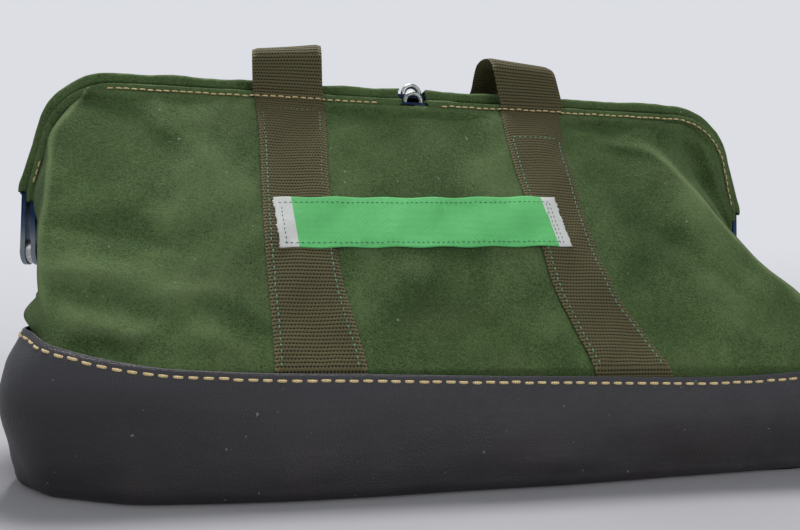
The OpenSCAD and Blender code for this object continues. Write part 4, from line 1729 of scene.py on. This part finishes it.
@dataclass
class Label:
    """Bare woven tape across both front straps, pale at its ends."""

    panel: Panel
    straps: Tuple[Strap, Strap]
    corners: Tuple[Tuple[float, float], ...] = ((-121, 140.5), (69.5, 145.5), (64.5, 180), (-127, 173.5))
    thick: float = 0.8
    pale: Tuple[float, float] = (-110.5, 53.5)

    def at(self, a: Array, b: Array, lift: float) -> Array:
        """Point at place a along and b up: bilinear between the corners, over cloth and straps.

        Args:
            a: 0 to 1 along.
            b: 0 to 1 up.
            lift: height above the underside.

        Returns:
            Points.
        """
        c = np.asarray(self.corners, float)
        xz = (c[0] * ((1 - a) * (1 - b))[..., None] + c[1] * (a * (1 - b))[..., None]
              + c[2] * (a * b)[..., None] + c[3] * ((1 - a) * b)[..., None])
        x, z = xz[..., 0], xz[..., 1]
        on = np.zeros(np.shape(x))
        for strap in self.straps:
            left, right = strap.edges(z)
            on = np.maximum(on, ease((x - left + 9) / 10) * ease((right + 9 - x) / 10))
        wave = 0.35 * ripple(x, z, 90, 38.0) + 0.7 * bell(a, 0.02) - 0.2
        out = 1.25 + 1.3 * on + wave * 0.6 + lift
        return self.panel.skin(x, z, 0.0) + np.stack([0 * x, -out, 0 * x], -1)

    def build(self, green: bpy.types.Material, pale: bpy.types.Material) -> bpy.types.Object:
        """Makes the tape with frayed ends.

        Args:
            green: the field.
            pale: the ends.

        Returns:
            The object.
        """
        rng = np.random.default_rng(8)
        na, nb = 261, 46
        a, b = np.meshgrid(np.linspace(0, 1, na), np.linspace(0, 1, nb))
        fray = np.zeros((nb, na))
        fray[:, 0] = -rng.uniform(0, 0.008, nb)
        fray[:, -1] = rng.uniform(0, 0.008, nb)
        b = b + 0.012 * np.sin(a * 37) * (np.abs(b - 0.5) * 2) ** 3
        grid = self.at(a + fray, b, 0.0)
        uv = np.stack([a * 0.19, b * 0.034], -1)
        piece = Build.sheet("label_tape", grid, green, self.thick, uv, offset=1.0)
        piece.data.materials.append(pale)
        x = grid[:-1, :-1, 0]
        lean = (grid[:-1, :-1, 2] - 157.0) * 0.17
        ends = (x + lean < self.pale[0] - 3) | (x + lean > self.pale[1] + 5)
        piece.data.polygons.foreach_set("material_index", ends.ravel().astype(np.int32))
        carry(piece)
        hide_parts("label")
        under = ["front_canvas_panel"] + [f"front_strap_{side.word}_webbing" for side in Side]
        Build.declare(piece, grid, "laid", under)
        return piece

    def seams(self) -> List[Tuple[Array, Array]]:
        """Sewing round the tape and a second row at the right end.

        Returns:
            A path and its normals for each row.
        """
        t = np.linspace(0, 1, 160)
        lines = [(0.012 + 0.97 * t, 0 * t + 0.1), (0.012 + 0.97 * t, 0 * t + 0.9),
                 (0 * t + 0.02, 0.08 + 0.84 * t), (0 * t + 0.976, 0.06 + 0.88 * t),
                 (0 * t + 0.962, 0.06 + 0.88 * t)]
        rows = []
        for a, b in lines:
            path = self.at(a, b, self.thick)
            rows.append((path, self.panel.normal(path[:, 0], path[:, 2])))
        return rows


@dataclass
class GrabLoop:
    """Webbing loop that rises from the hem and lies back over the mouth.

    Its middle line is given on a round surface about the pivots: x, length along the arc from
    straight above them, height off that surface, and roll in degrees. Close to the hem it
    leaves that surface and runs straight down.
    """

    face: Face
    radius: float
    line: Tuple[Tuple[float, float, float, float], ...]
    feet: Tuple[Tuple[float, float, float], Tuple[float, float, float]]
    edge: float
    hem: float
    thick: float = 2.2

    def build(self, webbing: bpy.types.Material) -> bpy.types.Object:
        """Makes the loop.

        Args:
            webbing: the webbing.

        Returns:
            The object.
        """
        pts = np.asarray(self.line, float)
        run = lengths(pts[:, :2])
        at = np.linspace(0, run[-1], 260)
        x, arc, lift, roll = (smooth(at, run, pts[:, i]) for i in range(4))
        phi = arc / self.radius
        reach = self.radius + lift
        body = np.stack([x, MOUTH.depth + reach * np.sin(phi), MOUTH.pivot + reach * np.cos(phi)], 1)
        flow = unit(np.stack([np.gradient(x), np.gradient(arc)], 1))
        lay = np.stack([flow[:, 1], -flow[:, 0] * np.cos(phi), flow[:, 0] * np.sin(phi)], 1)
        up = np.stack([0 * phi, np.sin(phi), np.cos(phi)], 1)
        turn = np.radians(roll)[:, None]
        lay = lay * np.cos(turn) + up * np.sin(turn)
        face_y = self.face.value * self.edge
        legs = []
        for i, (end, out) in enumerate(((body[0], self.feet[0]), (body[-1], self.feet[1]))):
            t = np.linspace(0, 1, 46)[:, None]
            a = np.array([out[0], face_y, self.hem])
            b, c = np.array([out[1], face_y, end[2] + 1.2]), end
            m = a + (b - a) * 0.62
            bend = m * (1 - t) ** 2 + b * 2 * t * (1 - t) + c * t ** 2
            rise = a * (1 - t) + m * t
            legs.append(np.concatenate([rise[:-1], bend[:-1]]))
        centre = np.concatenate([legs[0], body, legs[1][::-1]])
        lean = [np.radians(out[2]) * ease(np.linspace(0, 1, len(leg))) for leg, out in zip(legs, self.feet)]
        ends = [np.stack([np.cos(a), 0 * a, np.sin(a)], 1) for a in lean]
        across = np.concatenate([ends[0], lay, -ends[1][::-1]])
        k = 7
        pad = np.concatenate([np.repeat(across[:1], k, 0), across, np.repeat(across[-1:], k, 0)])
        blur = np.ones(2 * k + 1) / (2 * k + 1)
        across = unit(np.stack([np.convolve(pad[:, i], blur, "valid") for i in range(3)], 1))
        step = resample(np.concatenate([centre, across], 1), 330)
        centre, across = step[:, :3], unit(step[:, 3:])
        half = np.full(len(centre), WEB_WIDTH / 2)
        wave = ripple(np.arange(len(centre))[:, None], np.linspace(0, 40, 15)[None], 33, 70.0) * 0.5
        word = self.face.word
        piece = ribbon(f"{word}_grab_loop_webbing", centre, across, half, self.thick, webbing, wave)
        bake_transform(piece)
        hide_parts(f"{word}_grab_loop")
        return piece


LOOPS = (
    GrabLoop(Face.FRONT, 154.0, (
        (-122, 12, 2, 8), (-121.5, 24, 0, 8), (-120, 40, -5, 4), (-118, 56, -7, 0), (-105, 72, -7, 0),
        (-76, 80, -7, 0), (-40, 82, -7, 0), (-8, 82, -7, 0), (18, 76, -7, 0), (38, 64, -7, -8),
        (48, 50, -7, -18), (53, 36, -5, -18), (55, 24, -1, -6), (55, 12, 1, 8)),
        ((-120.2, -121.5, 9.0), (65.5, 56.0, -7.0)), 13.3, 256.2),
    GrabLoop(Face.REAR, 143.5, (
        (-120, 30, -6, 0), (-120, 60, -1, 0), (-116, 84, 0, 0), (-98, 104, 0, 0), (-68, 112, 0, 0),
        (12, 112, 0, 0), (42, 104, 0, 0), (60, 84, 0, 0), (64, 60, -1, 0), (64, 30, -6, 0)),
        ((-120.0, -120.0, 0.0), (64.0, 64.0, 0.0)), 25.5, 266.8),
)


# ------------------------------------------------------------- camera and studio


@dataclass(frozen=True)
class Camera:
    """The photograph's viewpoint, worked out from the bag's own sizes in the picture."""

    place: Tuple[float, float, float] = (-110.4, -488.5, 134.7)
    yaw: float = np.radians(8.99)
    pitch: float = np.radians(0.49)
    roll: float = np.radians(0.99)
    lens: float = 28.82

    def aim(self) -> None:
        """Builds the view from yaw, pitch and roll and makes it the scene's camera."""
        level = np.array([np.sin(self.yaw), np.cos(self.yaw), 0.0])
        right = np.array([np.cos(self.yaw), -np.sin(self.yaw), 0.0])
        ahead = level * np.cos(self.pitch) - np.array([0, 0, np.sin(self.pitch)])
        above = level * np.sin(self.pitch) + np.array([0, 0, np.cos(self.pitch)])
        r = right * np.cos(self.roll) + above * np.sin(self.roll)
        u = -right * np.sin(self.roll) + above * np.cos(self.roll)
        data = bpy.data.cameras.new("photo_camera")
        data.sensor_width = 36.0
        data.sensor_fit = "HORIZONTAL"
        data.lens = self.lens
        data.clip_start = 0.01
        thing = bpy.data.objects.new("photo_camera", data)
        bpy.context.scene.collection.objects.link(thing)
        turn = np.eye(4)
        turn[:3, 0], turn[:3, 1], turn[:3, 2] = r, u, -ahead
        turn[:3, 3] = np.asarray(self.place) * MM
        thing.matrix_world = Matrix(turn.tolist())
        bpy.context.scene.camera = thing


@dataclass(frozen=True)
class Studio:
    """Pale floor that curves up behind, soft lamps and an even world."""

    sky: float = 0.36
    lamps: Tuple[Tuple[str, Tuple[float, float, float], Tuple[float, float, float], float, float], ...] = (
        ("overhead", (-0.25, 0.5, 1.6), (-0.05, 0.0, 0.1), 0.6, 27.0),
        ("front_left", (-1.5, -1.3, 1.2), (0.0, 0.0, 0.15), 1.1, 5.5),
        ("front_right", (0.9, -1.9, 0.8), (0.0, 0.0, 0.12), 1.3, 12.0),
    )

    def build(self) -> None:
        """Makes floor, world and lamps."""
        paper = BackdropFinish().make()
        t = np.linspace(0, 1, 60)
        y = np.concatenate([np.linspace(-2500, 700, 20), 700 + 500 * np.sin(t * np.pi / 2)[1:], [1200.0]])
        z = np.concatenate([np.zeros(20), 500 * (1 - np.cos(t * np.pi / 2))[1:], [2600.0]])
        x = np.linspace(-6000, 6000, 25)
        grid = np.stack(np.broadcast_arrays(x[None, :], y[:, None], z[:, None] - 0.2), -1)
        floor = Build.mesh("backdrop", grid.reshape(-1, 3), Build.quads(len(y), len(x)), paper)
        world = bpy.data.worlds.new("studio")
        bpy.context.scene.world = world
        world.use_nodes = True
        nodes, links = world.node_tree.nodes, world.node_tree.links
        shade = nodes["Background"]
        shade.inputs[0].default_value = (0.93, 0.96, 1.0, 1.0)
        shade.inputs[1].default_value = self.sky
        plain, both = nodes.new("ShaderNodeBackground"), nodes.new("ShaderNodeMixShader")
        plain.inputs[0].default_value = (*BackdropFinish().shown, 1.0)
        links.new(nodes.new("ShaderNodeLightPath").outputs["Is Camera Ray"], both.inputs[0])
        links.new(shade.outputs[0], both.inputs[1])
        links.new(plain.outputs[0], both.inputs[2])
        links.new(both.outputs[0], nodes["World Output"].inputs[0])
        for name, place, aim, size, watts in self.lamps:
            data = bpy.data.lights.new(name, "AREA")
            data.shape = "SQUARE"
            data.size = size
            data.energy = watts
            data.color = (1.0, 0.985, 0.96)
            lamp = bpy.data.objects.new(name, data)
            bpy.context.scene.collection.objects.link(lamp)
            ahead = unit(np.asarray(aim) - np.asarray(place))
            side = unit(np.cross(ahead, [0.0, 0.0, 1.0]))
            turn = np.eye(4)
            turn[:3, 0], turn[:3, 1], turn[:3, 2] = side, np.cross(side, ahead), -ahead
            turn[:3, 3] = place
            lamp.matrix_world = Matrix(turn.tolist())
        bpy.context.scene.view_settings.view_transform = "Standard"


# ------------------------------------------------------------------------- main


@dataclass
class ToolBag:
    """The whole bag: builds each sub-assembly in order and dresses the steel."""

    front: Panel = field(default_factory=lambda: Panel(Face.FRONT))
    rear: Panel = field(default_factory=lambda: Panel(Face.REAR))
    band: BaseBand = field(default_factory=BaseBand)

    def __post_init__(self) -> None:
        """Makes the finishes."""
        self.canvas = CanvasFinish().make()
        self.webbing = WebbingFinish("olive_webbing", srgb(92, 88, 60), srgb(10, 10, 7)).make()
        self.tan = ThreadFinish("tan_thread", srgb(236, 214, 162), srgb(178, 150, 102)).make()
        self.teal = ThreadFinish("teal_thread", srgb(120, 184, 154), srgb(76, 128, 104)).make()

    def cloth(self) -> List[bpy.types.Object]:
        """Base band, panels, gussets and sleeves.

        Returns:
            The pieces made.
        """
        made = [self.band.shell(VinylFinish().make())]
        made += [panel.build(self.canvas) for panel in (self.front, self.rear)]
        panels = {Face.FRONT: self.front, Face.REAR: self.rear}
        for side in Side:
            gusset = Gusset(side, panels)
            made.append(gusset.low(self.canvas))
            made += [gusset.fan(face, self.canvas) for face in Face]
        for face in Face:
            made += [Sleeve(face).tube(side, self.canvas) for side in Side]
        return made

    def straps(self) -> List[bpy.types.Object]:
        """Straps with their sewing, the label and the grab loops.

        Returns:
            The pieces made.
        """
        made: List[bpy.types.Object] = []
        for face, panel in ((Face.FRONT, self.front), (Face.REAR, self.rear)):
            pair = [Strap(face, side, panel) for side in Side]
            made += [strap.build(self.webbing) for strap in pair]
            heights = zip(pair, HALVES[face].cross_seams)
            rows = [row for strap, height in heights for row in strap.seams(height)]
            sewing = STRAP_STITCH.sew(f"{face.word}_strap_sewing", rows, self.teal, 3)
            carry(sewing)
            made.append(sewing)
            if face is Face.FRONT:
                label = Label(self.front, (pair[0], pair[1]))
                field_cloth = LabelFinish("label_field", srgb(112, 212, 130), srgb(88, 188, 106)).make()
                end_cloth = LabelFinish("label_ends", srgb(232, 234, 232), srgb(200, 204, 202)).make()
                made.append(label.build(field_cloth, end_cloth))
                thread = ThreadFinish("dark_teal_thread", srgb(30, 96, 92), srgb(16, 58, 60)).make()
                sewing = LABEL_STITCH.sew("label_sewing", label.seams(), thread, 31)
                carry(sewing)
                made.append(sewing)
        made += [loop.build(self.webbing) for loop in LOOPS]
        return made

    def sewing(self) -> List[bpy.types.Object]:
        """Tan lock stitches along the base band and both hems.

        Returns:
            The pieces made.
        """
        path, normal = self.band.seam()
        row = BAND_STITCH.sew("band_sewing", [(path, normal)], self.tan, 2)
        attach(row, "base")
        made = [row]
        for face in Face:
            sleeve = Sleeve(face)
            straps = [Strap(face, side, self.front if face is Face.FRONT else self.rear) for side in Side]
            rows = [row for side in Side for row in sleeve.seams(side, straps)]
            row = HEM_STITCH.sew(f"{face.word}_hem_sewing", rows, self.tan, 12)
            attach(row, SWING[face])
            made.append(row)
        return made

    def steel(self) -> None:
        """Finishes of the solids that stay: bars, eyes, rivets, washers and board."""
        blued, bright = SteelFinish().make(), ZincFinish("bright_wire").make()
        rivet = ZincFinish("zinc_rivet", srgb(214, 216, 218), srgb(150, 152, 154)).make()
        finishes = {"base_board": BoardFinish().make()}
        for face in Face:
            finishes[f"{face.word}_frame_bar"], finishes[f"{face.word}_lock_eye"] = blued, bright
        for side in Side:
            finishes[f"{side.word}_rivet"] = finishes[f"{side.word}_washer"] = rivet
        for name, material in finishes.items():
            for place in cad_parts[name].material_slots:
                place.material = material


def main() -> None:
    """Builds camera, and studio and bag."""
    logging.basicConfig(level=logging.INFO, format="%(name)s: %(message)s")
    Camera().aim()
    Studio().build()
    bag = ToolBag()
    for piece in bag.cloth() + bag.straps() + bag.sewing():
        LOG.info("%s: %d faces", piece.name, len(piece.data.polygons))
    bag.steel()
    bpy.context.view_layer.update()


if __name__ == "__main__":
    main()
